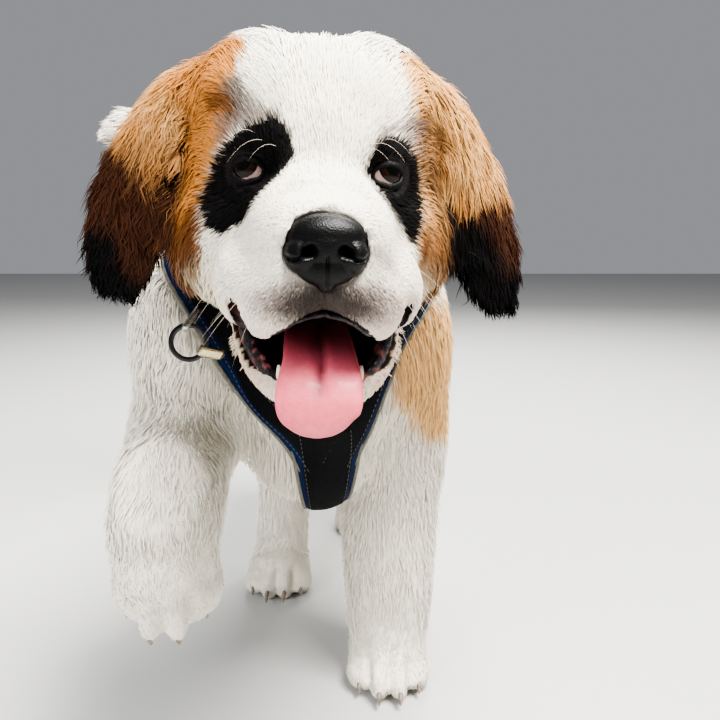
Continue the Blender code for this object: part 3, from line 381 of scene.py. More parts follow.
def ear_skin(stations):
    """The flap of an ear, in the model's frame."""
    last = EAR_SKIN * (len(stations) - 1)
    rings = []
    for i, (centre, half, out, bow, thick) in enumerate(stations[: int(last) + 1]):
        narrow = 0.95 - 0.42 * (i / last) ** 4
        to_head = FRONT_REACH * sin(pi * min(1, 1.15 * i / last + 0.08))
        outer, inner = [], []
        for t in np.linspace(-1, 1, 8):
            wide = half * t * narrow - half.normalized() * to_head * (1 - t) / 2
            point = centre + wide + out * bow * (1 - t * t)
            depth = out * thick * EAR_THIN * (0.5 - 0.3 * t**4)
            outer.append(HEAD @ (point + depth))
            inner.append(HEAD @ (point - depth))
        rings.append(outer + inner[::-1])
    return skin_rings("ear_skin", rings)


def tail_skin():
    """The tail's flesh: full at its root, thin inside the hair and pointed at its tip."""
    rows = []
    for i, (x, y, z, radius) in enumerate(TAIL_ROWS):
        core = 1 - (1 - TAIL_CORE) * min(1, i / 2)
        if i == len(TAIL_ROWS) - 1:
            core = TAIL_END
        rows.append((x, y, z, radius * core, radius * core))
    return loft("tail_skin", rows, BODY, side=(0, 1, 0), around=16)


ear_frames = {name: ear_stations(SIDES[name], *sizes) for name, sizes in EARS.items()}
print("ears of", [len(stations) for stations in ear_frames.values()], "stations")

# %% [markdown]
# Flesh has no seams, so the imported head, neck, trunk and legs are copied, joined with the ears and
# the tail, and made into one skin. Boolean unions could join them, but they would keep every facet.
# A voxel remesh closes the hair-thin gaps between the nodes, and smoothing takes the facets away.

# %% One skin over the whole puppy
SKIN_GRID = 0.0038  # keeps the skin under 200,000 triangles
SKIN_PASSES = 3
FLESH = ["head", "jaw", "neck", "torso", "foreleg_left", "foreleg_right", "hind_leg_left", "hind_leg_right"]
REPLACED = FLESH + ["tail_root", "tail_tip", "ear_left", "ear_right"]


def copy_of_node(node):
    """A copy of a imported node's mesh, with its loose triangles merged."""
    form = bmesh.new()
    form.from_mesh(bpy.data.objects[node].data)
    bmesh.ops.remove_doubles(form, verts=form.verts, dist=1e-6)
    return add_mesh(node + "_copy", form)


parts = [copy_of_node(node) for node in FLESH]
parts += [ear_skin(stations) for stations in ear_frames.values()]
parts.append(tail_skin())
skin = fused(join("skin", parts), SKIN_GRID, SKIN_PASSES)
print("skin of", len(skin.data.polygons), "faces")

# %% [markdown]
# Nature isn't even, so colours, directions and lengths wander a little. Blender's own noise takes
# one point at a time. This one is a lattice of random values with smooth curves between them, and
# is worked out for all points at once.

# %% Smooth noise
LATTICE_SIZE = 32
LATTICE = rng.random((LATTICE_SIZE, LATTICE_SIZE, LATTICE_SIZE))
LAYER_STEP = 5.37  # sets the layers of noise apart on the lattice


def noise(points, size, layer=0):
    """Smooth noise from -1 to 1 whose hills are about size apart."""
    q = np.asarray(points, float) / size + LAYER_STEP * layer
    base = np.floor(q).astype(int)
    share = q - base
    share = share * share * (3 - 2 * share)
    total = np.zeros(len(q))
    for corner in product((0, 1), repeat=3):
        weight = np.prod(np.where(corner, share, 1 - share), axis=1)
        i, j, k = ((base + corner) % LATTICE_SIZE).T
        total += weight * LATTICE[i, j, k]
    return total * 2 - 1


def noise_vector(points, size, layer=0):
    """Three layers of noise as the parts of a direction."""
    return np.stack([noise(points, size, layer + k) for k in range(3)], axis=1)


def unit(vectors):
    return vectors / np.maximum(np.linalg.norm(vectors, axis=1, keepdims=True), 1e-9)


def smoothstep(values):
    """Values from 0 to 1 with soft ends, and flat beyond them."""
    t = np.clip(values, 0, 1)
    return t * t * (3 - 2 * t)


print("noise from", round(noise(np.zeros((1, 3)), 0.01)[0], 2))

# %% [markdown]
# A real coat lies differently on every part: short and flat on the muzzle, long and loose behind
# the ears. It could be combed by hand, but then every tuft would be a number. It is steered instead
# by guides: points on the body with the way the hair lies there, its length and how far its tips
# stand off the skin. Every place takes a mean of the guides near it. Lengths and depths are in mm.

# %% Guides of the body's coat
# x, y, z, direction of the hair, length, depth
BODY_GUIDES = [
    (0.0, -0.1, 0.47, (0, 1, -0.05), 22, 10),
    (0.0, 0.05, 0.45, (0, 1, 0), 22, 10),
    (0.0, 0.18, 0.445, (0, 1, -0.1), 24, 10),
    (0.0, 0.255, 0.36, (0, 0.2, -1), 24, 10),
    (0.0, -0.265, 0.33, (0, -0.1, -1), 21, 9),
    (0.0, -0.245, 0.27, (0, 0.1, -1), 21, 9),
    (0.0, -0.18, 0.212, (0, 0.9, -0.5), 20, 8),
    (0.0, -0.03, 0.206, (0, 1, -0.1), 18, 7),
    (0.0, 0.12, 0.235, (0, 1, 0.1), 18, 7),
    (0.0, -0.2, 0.52, (0, 1, -0.3), 22, 9),
    (0.01, -0.29, 0.38, (0, 0.3, -1), 20, 8),
]
# the same on both sides
SIDE_GUIDES = [
    (0.115, -0.1, 0.37, (0.0, 0.8, -0.6), 21, 9),
    (0.122, 0.05, 0.34, (0.0, 0.95, -0.35), 20, 9),
    (0.105, 0.17, 0.34, (0.0, 0.7, -0.7), 20, 9),
    (0.08, 0.02, 0.24, (0.0, 0.9, -0.4), 19, 8),
    (0.06, 0.24, 0.38, (0.1, 0.5, -0.9), 22, 9),
    (0.1, -0.2, 0.45, (0.2, 0.6, -0.8), 22, 9),
    (0.095, -0.235, 0.36, (0.2, 0.1, -1), 21, 9),
    (0.05, -0.255, 0.3, (0.1, 0.0, -1), 21, 9),
    (0.07, -0.18, 0.23, (0.1, 0.4, -1), 18, 8),
]
# the legs: the left foreleg and both hind legs stand, the right foreleg is raised
LEG_GUIDES = [
    (0.125, -0.13, 0.26, (0, 0.15, -1), 16, 7),
    (0.08, -0.18, 0.18, (0, 0.05, -1), 14, 6),
    (0.075, -0.08, 0.15, (0, 0.2, -1), 15, 6),
    (0.078, -0.13, 0.09, (0, 0.0, -1), 11, 5),
    (0.074, -0.185, 0.035, (0, -0.7, -0.6), 5.5, 1.8),
    (0.074, -0.1, 0.03, (0, 0.3, -1), 8, 3),
    (-0.11, -0.21, 0.335, (0, -0.2, -1), 18, 8),
    (-0.112, -0.27, 0.308, (0, -0.7, -0.7), 15, 6),
    (-0.11, -0.24, 0.228, (0, -1, -0.1), 14, 6),
    (-0.16, -0.25, 0.27, (0, -0.6, -0.8), 14, 6),
    (-0.06, -0.26, 0.265, (0, -0.6, -0.8), 13, 5),
    (-0.102, -0.345, 0.265, (0, -0.3, -1), 13, 5),
    (-0.102, -0.365, 0.205, (0, 0.1, -1), 6, 2),
    (-0.102, -0.335, 0.172, (0, 0.8, -0.4), 4.5, 1.2),
    (-0.102, -0.3, 0.19, (0, 0.1, -1), 7, 2.5),
    (0.11, 0.17, 0.25, (0, 0.1, -1), 18, 8),
    (0.08, 0.12, 0.2, (0, 0.1, -1), 15, 7),
    (0.062, 0.21, 0.15, (0, 0.5, -1), 14, 6),
    (0.052, 0.29, 0.12, (0, 0.1, -1), 13, 5),
    (0.05, 0.25, 0.06, (0, -0.1, -1), 10, 4),
    (0.048, 0.2, 0.03, (0, -0.7, -0.6), 5.5, 1.8),
    (-0.11, 0.14, 0.25, (0, 0.0, -1), 18, 8),
    (-0.085, 0.05, 0.22, (0, 0.1, -1), 15, 7),
    (-0.07, 0.08, 0.15, (0, 0.4, -1), 14, 6),
    (-0.062, 0.13, 0.11, (0, -0.1, -1), 13, 5),
    (-0.06, 0.07, 0.06, (0, -0.3, -1), 10, 4),
    (-0.06, 0.0, 0.03, (0, -0.7, -0.6), 5.5, 1.8),
]
# the head, in its own frame: a side guide is used on both sides
FACE_GUIDES = [
    (0, -0.065, -0.014, (0, 1, 0.2), 5, 1.4),
    (0, -0.03, -0.002, (0, 0.9, 0.5), 8, 2.5),
    (0, -0.006, 0.03, (0, 0.2, 1), 10, 3.5),
    (0, 0.01, 0.075, (0, 0.6, 1), 13, 5),
    (0, 0.06, 0.098, (0, 1, 0.1), 17, 9),
    (0, 0.125, 0.065, (0, 0.8, -0.8), 22, 9),
    (0, -0.098, -0.078, (0, 0.1, -1), 4, 1.0),
    (0, -0.062, -0.143, (0, 0.6, -0.9), 7, 2.5),
    (0, -0.02, -0.14, (0, 1, -0.2), 11, 4),
    (0, 0.04, -0.13, (0, 1, -0.4), 17, 7),
]
FACE_SIDE_GUIDES = [
    (0.022, -0.04, -0.012, (0.35, 0.9, 0.2), 5.5, 1.5),
    (0.04, -0.07, -0.04, (0.4, 0.9, -0.25), 5, 1.3),
    (0.03, -0.088, -0.066, (0.55, 0.35, -0.75), 4, 1.0),
    (0.056, -0.048, -0.07, (0.3, 0.55, -0.75), 5.5, 1.4),
    (0.066, -0.015, -0.062, (0.2, 0.8, -0.5), 7, 2.2),
    (0.034, -0.07, -0.098, (0.2, 0.35, -1), 3.5, 0.7),
    (0.03, -0.012, 0.022, (0.25, 0.2, 1), 9, 3.0),
    (0.045, -0.01, 0.026, (0.55, 0.25, 0.8), 9, 3.0),
    (0.064, 0.0, 0.012, (0.8, 0.5, 0.35), 10, 3.0),
    (0.022, -0.012, -0.006, (-0.2, 0.3, 0.9), 7, 2.0),
    (0.046, -0.012, -0.026, (0.5, 0.4, -0.7), 8, 2.5),
    (0.066, 0.0, -0.026, (0.7, 0.5, -0.5), 10, 3.5),
    (0.05, 0.015, 0.07, (0.5, 0.6, 0.7), 14, 5),
    (0.08, 0.03, 0.03, (0.6, 0.8, -0.1), 14, 5),
    (0.09, 0.045, -0.04, (0.4, 0.8, -0.7), 19, 7),
    (0.074, 0.03, -0.092, (0.3, 0.6, -0.9), 18, 7),
    (0.05, -0.01, -0.118, (0.15, 0.6, -0.8), 7, 1.8),
    (0.057, -0.002, -0.098, (0.2, 0.7, -0.7), 7, 1.6),
    (0.06, 0.01, -0.082, (0.3, 0.8, -0.5), 8, 2.0),
    (0.043, -0.032, -0.126, (0.15, 0.5, -0.9), 6, 1.5),
    (0.036, -0.045, -0.134, (0.15, 0.5, -0.9), 7, 2.0),
    (0.07, 0.11, 0.02, (0.4, 0.8, -0.6), 22, 9),
    (0.086, 0.058, 0.03, (0.9, 0.2, -0.8), 24, 11),
    (0.093, 0.058, -0.01, (0.8, 0.2, -0.9), 26, 12),
    (0.06, 0.1, -0.08, (0.3, 0.8, -0.8), 20, 9),
]
print(len(BODY_GUIDES) + 2 * len(SIDE_GUIDES) + len(LEG_GUIDES), "guides on the body")
print(len(FACE_GUIDES) + 2 * len(FACE_SIDE_GUIDES), "guides on the head")

# %% [markdown]
# The ears and the tail have long hair that hangs or sweeps along them and hides their true width.
# Their guides could be typed like the others, but they are worked out from the stations, so that
# they move with the ears. Their skin is already thin, so their depth is only how far tips rise.

# %% All guides as arrays
EAR_HAIR = 28  # mm
EAR_SIDES = ((0.004, 1.0, 7), (-0.004, 0.7, 3.5))  # off the flap, share of the length, and depth
TAIL_HAIR = 40  # mm
TAIL_RISE = 0.88  # of the coat's radius


def mirrored(guides):
    """Guides for both sides."""
    both = []
    for x, y, z, lie, length, depth in guides:
        for side in (1, -1):
            both.append((side * x, y, z, (side * lie[0], *lie[1:]), length, depth))
    return both


def guide_rows(frame_of, guides, sinks=1):
    """Place, direction, length, rise and sink of guides given in a frame."""
    places = place(frame_of, [g[:3] for g in guides])
    lies = unit(turned(frame_of, [g[3] for g in guides]))
    sizes = np.array([(g[4], g[5], g[5] * sinks) for g in guides]) / 1000
    return np.hstack([places, lies, sizes])


def ear_guides(stations):
    """Guides on both faces of an ear, at its edges and its middle."""
    centres = [station[0] for station in stations]
    guides = []
    for i in range(0, len(stations), 2):
        centre, half, out, bow, thick = stations[i]
        down = heading(centres, i)
        share = i / (len(stations) - 1)
        length = EAR_HAIR * (0.50 + 0.50 * min(1, 2.5 * share))
        length *= 1 - 0.40 * smoothstep((share - 0.60) / 0.35)
        for across in (-1, 0, 1):
            point = centre + half * across + out * bow * (1 - across * across)
            flare = 0.40 if across < 0 else 0.35
            spread = (down + half.normalized() * across * flare * (1 - 1.7 * share)).normalized()
            for off, part, depth in EAR_SIDES:
                guides.append((*(point + out * off), spread, length * part, depth))
    return guides


def tail_guides():
    """Guides on four sides of the tail, shorter towards its tip."""
    rows = even_rows(TAIL_ROWS, 2)
    centres = [Vector(row[:3]) for row in rows]
    guides = []
    for i in range(2, len(rows)):
        along = heading(centres, i)
        side = along.cross(Vector((0, 0, 1))).normalized()
        up = side.cross(along)
        for k in range(4):
            out = side * cos(k * pi / 2) + up * sin(k * pi / 2)
            radius = rows[i][3]
            left = (centres[-1] - centres[i]).length * 1000
            length = min(TAIL_HAIR, 10 + 0.55 * left)
            root = centres[i] + out * radius * TAIL_CORE
            guides.append((*root, along + out * 0.1, length, radius * (TAIL_RISE - TAIL_CORE) * 1000))
    return guides


GUIDES = np.vstack([
    guide_rows(BODY, BODY_GUIDES + mirrored(SIDE_GUIDES) + LEG_GUIDES),
    guide_rows(HEAD, FACE_GUIDES + mirrored(FACE_SIDE_GUIDES)),
    guide_rows(HEAD, ear_guides(ear_frames["left"]) + ear_guides(ear_frames["right"]), 0),
    guide_rows(BODY, tail_guides(), 0),
])
NEAR = 0.010  # guides nearer than this count alike
CHUNK = 20000  # points worked out at once


def lie_of_coat(points):
    """Direction, length, rise and sink of the coat at points, each a mean of the guides near it."""
    total = np.zeros((len(points), GUIDES.shape[1] - 3))
    for low in range(0, len(points), CHUNK):
        part = points[low : low + CHUNK]
        apart = ((part[:, None, :] - GUIDES[None, :, :3]) ** 2).sum(axis=2)
        weight = 1 / (apart + NEAR**2) ** 3
        weight /= weight.sum(axis=1, keepdims=True)
        total[low : low + CHUNK] = weight @ GUIDES[:, 3:]
    return unit(total[:, :3]), total[:, 3], total[:, 4], total[:, 5]


print(len(GUIDES), "guides in all")

# %% [markdown]
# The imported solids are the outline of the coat, so the skin has to lie inside them by the coat's
# depth. Scaling it down would move the eyes and the mouth, so it is sunk along its normals, deep
# where the coat is deep, and not at all at the rims of the eyes and the nose, where bare skin
# shows. The folds of the face and the clefts between the toes are then pressed in, as with a
# sculpting brush: each stroke pushes the points near a line by a soft falloff.

# %% The skin sunk under the coat
SINK_SHARE = 0.68  # of the coat's depth
EYE_RIM = (0.0135, 0.024)  # from the eye's middle, where fur starts and is full
NOSE_RIM = ((0, -0.090, -0.046), (0.0255, 0.026, 0.0215))  # its middle and half sizes


def eye_distance(points):
    """How far points of the model's frame are from the nearer eye."""
    gaps = [np.linalg.norm(points - np.array(eye), axis=1) for eye in (left_eye, right_eye)]
    return np.minimum(*gaps)


def bare_eyes(points):
    """0 where the coat is full, 1 at the rim of an eye."""
    return 1 - smoothstep((eye_distance(points) - EYE_RIM[0]) / (EYE_RIM[1] - EYE_RIM[0]))


def bare_nose(points):
    """0 where the coat is full, 1 at the rim of the nose."""
    local = into(HEAD, points) - np.array(NOSE_RIM[0])
    gap = np.sqrt(((local / np.array(NOSE_RIM[1])) ** 2).sum(axis=1))
    return 1 - smoothstep((gap - 0.92) / 0.5)


def bareness(points):
    """0 where the coat is full, 1 at the rims of the eyes and the nose."""
    return np.maximum(bare_eyes(points), bare_nose(points))


PAW_SCALE = 1.023
SOLES = {
    "left_fore": ((0.074, -0.150, 0.0), 0.0),
    "right_hind": ((-0.060, 0.045, 0.0), 0.0),
    "left_hind": ((0.048, 0.240, 0.0), 0.0),
    "right_fore": ((-0.100, -0.3107, 0.2052), 62.0),
}  # the middle of each sole and its pitch in degrees
TOE_GAP, TOE_WIDE, TOE_DEEP = 0.0203, 0.0034, 0.0050  # the clefts between the toes
# lines in x and z of the head's frame, with the width and the depth of the stroke
FACE_STROKES = [
    ([(0.051, -0.079), (0.0465, -0.092), (0.039, -0.107)], 0.0038, 0.017),
    ([(0.024, -0.046), (0.034, -0.056), (0.046, -0.070), (0.050, -0.078)], 0.0040, 0.0022),
    ([(0.060, -0.030), (0.062, -0.050), (0.058, -0.068)], 0.0045, 0.0022),
    ([(0.016, -0.002), (0.024, -0.016), (0.036, -0.024)], 0.0050, 0.0016),
    ([(0.022, -0.068), (0.034, -0.073), (0.046, -0.083)], 0.0026, 0.0013),
    ([(0.020, -0.078), (0.030, -0.084), (0.041, -0.095)], 0.0024, 0.0012),
    ([(0.044, -0.050), (0.054, -0.062), (0.055, -0.074)], 0.0028, 0.0013),
    ([(0.000, -0.064), (0.000, -0.086)], 0.0020, 0.0026),
]


def foot_frame(sole, pitch):
    """The frame of a foot: its origin is in the middle of the sole, and the toes point along -y."""
    tilt = Matrix.Rotation(radians(pitch), 4, "X")
    return BODY @ Matrix.Translation(sole) @ tilt @ Matrix.Scale(PAW_SCALE, 4)


def past(values, start, width):
    """0 up to a start, and 1 from a width beyond it."""
    return smoothstep((values - start) / width)


def line_gap(flat, line):
    """How far points of a plane lie from a line through a few corners."""
    nearest = np.full(len(flat), np.inf)
    for (x0, y0), (x1, y1) in zip(line, line[1:]):
        edge = np.array((x1 - x0, y1 - y0))
        share = np.clip(((flat - (x0, y0)) @ edge) / (edge @ edge), 0, 1)
        nearest = np.minimum(nearest, np.linalg.norm(flat - (x0, y0) - share[:, None] * edge, axis=1))
    return nearest


def stroke(flat, line, width, depth):
    """How deep points of a plane lie under a stroke along a line."""
    return depth * np.exp(-((line_gap(flat, line) / width) ** 2))


def both_sides(local):
    """Points of the head's frame seen from the front, with its right side folded onto its left."""
    return np.stack([np.abs(local[:, 0]), local[:, 2]], axis=1)


def on_toes(toe):
    """1 on the toes, for points of a foot's frame."""
    ahead = past(-toe[:, 1], 0.020, 0.012) * (toe[:, 1] > -0.08) * (abs(toe[:, 0]) < 0.05)
    return ahead * past(-toe[:, 2], -0.048, 0.014) * (toe[:, 2] > -0.006)


FEET = {name: foot_frame(*sole) for name, sole in SOLES.items()}
places, normals = mesh_arrays(skin)
sink = lie_of_coat(places)[3] * (1 - bareness(places)) * SINK_SHARE
places -= normals * sink[:, None]
local = into(HEAD, places)
on_front = past(-local[:, 1], -0.030, 0.010)
for line, width, depth in FACE_STROKES:
    local[:, 1] += stroke(both_sides(local), line, width, depth) * on_front
places = place(HEAD, local)
for foot in FEET.values():
    toe = into(foot, places)
    toes = on_toes(toe)
    for x in (-TOE_GAP, 0.0, TOE_GAP):
        places -= normals * (TOE_DEEP * np.exp(-(((toe[:, 0] - x) / TOE_WIDE) ** 2)) * toes)[:, None]
move_points(skin, places)
eased(skin, 0.4, 2)
print("skin sunk by up to", round(1000 * sink.max(), 1), "mm")

# %% [markdown]
# The skin needs a flat map, onto which its colours can be baked. Seams could be marked by hand
# along the belly and the legs. As nobody sees the map, it is cut by the skin's own shape instead.
# Every tuft of the coat later takes a small patch of this map at the place of its root.

# %% An unwrap of the skin
UNWRAP_ANGLE = radians(66)  # where the map is cut
UNWRAP_MARGIN = 0.002
bpy.context.view_layer.objects.active = skin
skin.select_set(True)
skin.data.uv_layers.new(name="OFBake")
bpy.ops.object.mode_set(mode="EDIT")
bpy.ops.mesh.select_all(action="SELECT")
bpy.ops.uv.smart_project(angle_limit=UNWRAP_ANGLE, island_margin=UNWRAP_MARGIN)
bpy.ops.object.mode_set(mode="OBJECT")
skin.select_set(False)
skin.data.calc_loop_triangles()
triangle_count = len(skin.data.loop_triangles)
corner_verts = np.empty(triangle_count * 3, int)
corner_loops = np.empty(triangle_count * 3, int)
skin.data.loop_triangles.foreach_get("vertices", corner_verts)
skin.data.loop_triangles.foreach_get("loops", corner_loops)
skin_uv = np.empty(len(skin.data.loops) * 2)
skin.data.uv_layers["OFBake"].data.foreach_get("uv", skin_uv)
corner_uv = skin_uv.reshape(-1, 2)[corner_loops].reshape(-1, 3, 2)
corner_verts = corner_verts.reshape(-1, 3)
print("unwrapped", triangle_count, "triangles of skin")

# %% [markdown]
# The markings of the face are drawn as the camera sees them, in the pixels of a frame 720 wide. A
# picture could be laid over the head, but it would smear round the sides. Outlines don't: a point
# of the coat asks where it is seen, and takes the colour of the marking that it falls in.

# %% Where points fall in the photograph's frame
FRAME = 720  # pixels
FOCAL = LENS / SENSOR * FRAME
CAMERA_PLACE = np.array(BODY @ Vector(CAMERA_AT))
CAMERA_AHEAD = np.array((0, cos(radians(CAMERA_DOWN)), -sin(radians(CAMERA_DOWN))))
CAMERA_UP = np.array((0, sin(radians(CAMERA_DOWN)), cos(radians(CAMERA_DOWN))))


def seen_at(points):
    """Pixels, across and down, at which points are seen."""
    ray = points - CAMERA_PLACE
    seen = np.stack([ray[:, 0], -(ray @ CAMERA_UP)], axis=1) / (ray @ CAMERA_AHEAD)[:, None]
    return FRAME / 2 + FOCAL * seen


def inside(outline, pixels):
    """How far pixels lie inside an outline, negative outside it."""
    closed = np.array(outline + outline[:1], float)
    crossings = np.zeros(len(pixels), bool)
    for (x0, y0), (x1, y1) in zip(closed, closed[1:]):
        beside = (y0 > pixels[:, 1]) != (y1 > pixels[:, 1])
        with np.errstate(divide="ignore", invalid="ignore"):
            at = x0 + (pixels[:, 1] - y0) * (x1 - x0) / (y1 - y0)
        crossings ^= beside & (pixels[:, 0] < at)
    nearest = line_gap(pixels, closed)
    return np.where(crossings, nearest, -nearest)


print("the nose is seen at", seen_at(place(HEAD, [(0, -0.10, -0.045)])).round())

# %% [markdown]
# White lies underneath. Over it come an orange mantle, an orange and brown head with a white
# blaze, black round the eyes, and ears that run from orange to black. Left and right in the names
# of the outlines are the picture's. The points are no more than the shape needs.

# %% Colours and outlines of the markings
WHITE = (0.88, 0.815, 0.69)
IVORY = (0.82, 0.74, 0.60)
CREAM = (0.74, 0.62, 0.42)
ORANGE = (0.47, 0.185, 0.045)
LIGHT_ORANGE = (0.80, 0.46, 0.19)
RUSSET = (0.22, 0.070, 0.020)
BROWN = (0.045, 0.0165, 0.0085)
JAW_TAN = (0.60, 0.42, 0.24)
GREY_BROWN = (0.14, 0.10, 0.085)
BLACK = (0.0045, 0.0036, 0.0034)
# the flews' pink: partly their pink skin, partly painted shade on their lower part
FLEW_PINK_AND_SHADE = (0.84, 0.60, 0.53)
# the dark under the nose: partly its dark hairs, partly painted shade under the nose pad
UNDER_NOSE_DARK_AND_SHADE = (0.016, 0.012, 0.011)
BLAZE = [
    (251, 5), (400, 5), (396, 66), (408, 97), (411, 125), (412, 160), (417, 206), (414, 240), (417, 262),
    (410, 292), (428, 306), (480, 330), (480, 440), (140, 440), (140, 318), (178, 296), (201, 262),
    (204, 233), (206, 200), (222, 155), (244, 122), (232, 92), (249, 61),
]
LEFT_PATCH = [
    (205, 200), (220, 158), (238, 140), (262, 128), (278, 122), (291, 140), (294, 160), (288, 172),
    (270, 188), (257, 203), (247, 218), (228, 231), (210, 224),
]
RIGHT_PATCH = [
    (366, 160), (373, 146), (386, 140), (405, 147), (413, 161), (416, 186), (417, 206), (411, 243),
    (404, 240), (396, 222), (387, 207), (374, 190), (364, 176),
]
LEFT_CHEEK = [(158, 150), (182, 160), (206, 196), (214, 236), (204, 262), (196, 286), (160, 290), (150, 220)]
RIGHT_CHEEK = [(420, 120), (446, 150), (470, 200), (470, 300), (436, 300), (426, 250), (418, 200)]
LEFT_BROW = [(222, 120), (250, 108), (278, 116), (292, 140), (270, 132), (240, 138), (222, 152)]
RIGHT_BROW = [(372, 146), (378, 132), (396, 128), (404, 118), (418, 120), (420, 160), (412, 156), (392, 138)]
DARK_TEMPLE = [(226, 84), (240, 78), (252, 92), (262, 106), (240, 120), (222, 110)]
LEFT_EAR_STRANDS = [
    (108, 118), (150, 128), (196, 140), (206, 190), (196, 290), (150, 290), (60, 250), (60, 130),
]
RIGHT_EAR_BROWN = [
    (438, 196), (470, 186), (500, 178), (530, 200), (560, 260), (560, 350), (470, 350), (440, 240),
]
RIGHT_EAR_BLACK = [
    (430, 186), (450, 192), (474, 206), (490, 226), (498, 250), (518, 262), (548, 290), (540, 350),
    (484, 350), (466, 296), (446, 250),
]
LEFT_EAR_BROWN = [
    (40, 130), (96, 126), (140, 144), (160, 172), (184, 192), (176, 214), (160, 226), (170, 330), (40, 330),
]
LEFT_EAR_BLACK = [
    (90, 210), (112, 214), (124, 236), (134, 262), (150, 270), (156, 240), (166, 236), (170, 330), (80, 330),
    (86, 260),
]
NECK_PATCH = [
    (380, 330), (392, 300), (430, 292), (470, 250), (520, 300), (520, 470), (447, 436), (428, 432),
    (410, 410), (392, 384),
]
SHOULDER_SPOT = [(60, 340), (118, 352), (130, 372), (134, 396), (120, 416), (60, 420)]
# outline, on the puppy's right ear or not, softness in pixels, chance, streaks, strength, colour
EAR_MARKS = [
    (LEFT_EAR_STRANDS, True, 16, 1.0, 0.9, 0.55, BROWN),
    (LEFT_EAR_BROWN, True, 15, 0.8, 1.0, 1.0, BROWN),
    (LEFT_EAR_BLACK, True, 9, 1.0, 0.3, 1.0, BLACK),
    (RIGHT_EAR_BROWN, False, 11, 0.8, 0.7, 1.0, BROWN),
    (RIGHT_EAR_BLACK, False, 8, 1.0, 0.2, 1.0, BLACK),
]
print("the blaze has", len(BLAZE), "corners, and the ears", len(EAR_MARKS), "markings")

# %% [markdown]
# Other markings follow the body: the mantle is a range along the back, and the ears, the head and
# the tail are regions round their own frames. Each becomes a mask from 0 to 1. A hard edge would
# look cut out, because a coat changes its colour hair by hair, so the edges are soft and broken up.

# %% Masks of the markings
HEAD_MIDDLE, HEAD_SIZES = (0, 0.020, -0.020), (0.125, 0.150, 0.150)
EAR_REACH = 0.030  # how far from its flap an ear's hair reaches
TAIL_START = 0.13  # share of the tail that counts as rump


def paint(colours, mask, colour):
    """Mixes a colour into an array of colours, as far as a mask says."""
    colours += (np.array(colour) - colours) * np.clip(mask, 0, 1)[:, None]


def marked(gap, soft, scatter):
    """A mask from a distance inside a marking, its edge soft and broken up by scatter."""
    return smoothstep(0.5 + 0.5 * gap / soft + scatter)


def on_ears(points, first=3, inner=0.080):
    """1 on the ears, from a station on and outside a distance from the middle."""
    local = into(HEAD, points)
    near = np.full(len(points), 1.0)
    for stations in ear_frames.values():
        for centre, half, *_ in stations[first:]:
            side = np.array(half.normalized())
            apart = local - np.array(centre)
            across = apart @ side
            off = apart - across[:, None] * side
            gap = np.linalg.norm(off, axis=1) + np.maximum(0, np.abs(across) - half.length)
            near = np.minimum(near, gap)
    return past(-near, -EAR_REACH, 0.012) * past(np.abs(local[:, 0]), inner, 0.010)


def on_head(points):
    """1 on the head, without a hard edge at the neck."""
    local = into(HEAD, points) - np.array(HEAD_MIDDLE)
    out = np.sqrt(((local / np.array(HEAD_SIZES)) ** 2).sum(axis=1))
    return past(-out, -1.0, 0.12)


def on_tail(points):
    """How far along the tail points are, from 0 at its root to 1 at its tip, and -1 off the tail."""
    rows = even_rows(TAIL_ROWS, 4)
    centres = place(BODY, rows[:, :3])
    apart = np.linalg.norm(points[:, None, :] - centres[None, :, :], axis=2) / (rows[:, 3] * 1.25)
    nearest = apart.argmin(axis=1)
    share = nearest / (len(rows) - 1)
    return np.where((apart.min(axis=1) < 1.0) & (share > TAIL_START), share, -1.0)


brow = place(HEAD, [(0, 0, 0.05)])
print("the brow is on the head by", on_head(brow), "and on the ears by", on_ears(brow))

# %% [markdown]
# The colours go on in layers, as a painter would lay them, so that a later one covers the edge of
# an earlier one. The same function colours the skin and every tuft, each with its own bit of
# chance, so the markings of the coat and of the skin under it agree. Where hair is long, a noise
# drawn out along it makes streaks.

# %% The colour of the coat at a place
MANTLE_FRONT, MANTLE_BACK, MANTLE_LOW = -0.115, 0.262, 0.285  # where it starts and ends
TAIL_ORANGE = 0.34  # share of the tail that is orange
ALONG_HAIR = np.array((1, 1, 0.35))  # draws a noise out, up and down
LIP_MIDDLE, LIP_SIZES = np.array((0, -0.092, -0.074)), np.array((0.037, 0.03, 0.014))
Spots = namedtuple("Spots", "points pixels in_head in_body scatter blur mixed head ears")


def picture_mark(outline, spots, soft, strands=0.0):
    """A mask from an outline drawn on the picture."""
    return marked(inside(outline, spots.pixels), soft, spots.mixed + strands)


def paint_trunk(colours, spots):
    """The mantle over the back, the root of the tail, and the patches on neck and shoulder."""
    x, y, z = spots.in_body.T
    upper = np.minimum(y - MANTLE_FRONT + 0.02 * noise(spots.points, 0.06, 3), z - MANTLE_LOW + 0.1 * y)
    tail = on_tail(spots.points)
    mantle = marked(np.minimum(upper, MANTLE_BACK - y) * 1000, 14, spots.mixed) * (tail < 0)
    paint(colours, mantle, LIGHT_ORANGE)
    paint(colours, mantle * past(y + 0.03 * spots.blur, -0.10, 0.16) * 0.85, ORANGE)
    paint(colours, mantle * past(z, 0.40, 0.05) * 0.55, RUSSET)
    paint(colours, marked((TAIL_ORANGE - tail) * 100, 7, spots.mixed) * (tail >= 0), ORANGE)
    front = (1 - spots.head) * (1 - spots.ears) * past(0.03 * spots.blur - y, -0.06, 0.10)
    paint(colours, picture_mark(NECK_PATCH, spots, 9) * front * (x > 0.03), LIGHT_ORANGE)
    paint(colours, picture_mark(SHOULDER_SPOT, spots, 6) * front, LIGHT_ORANGE)


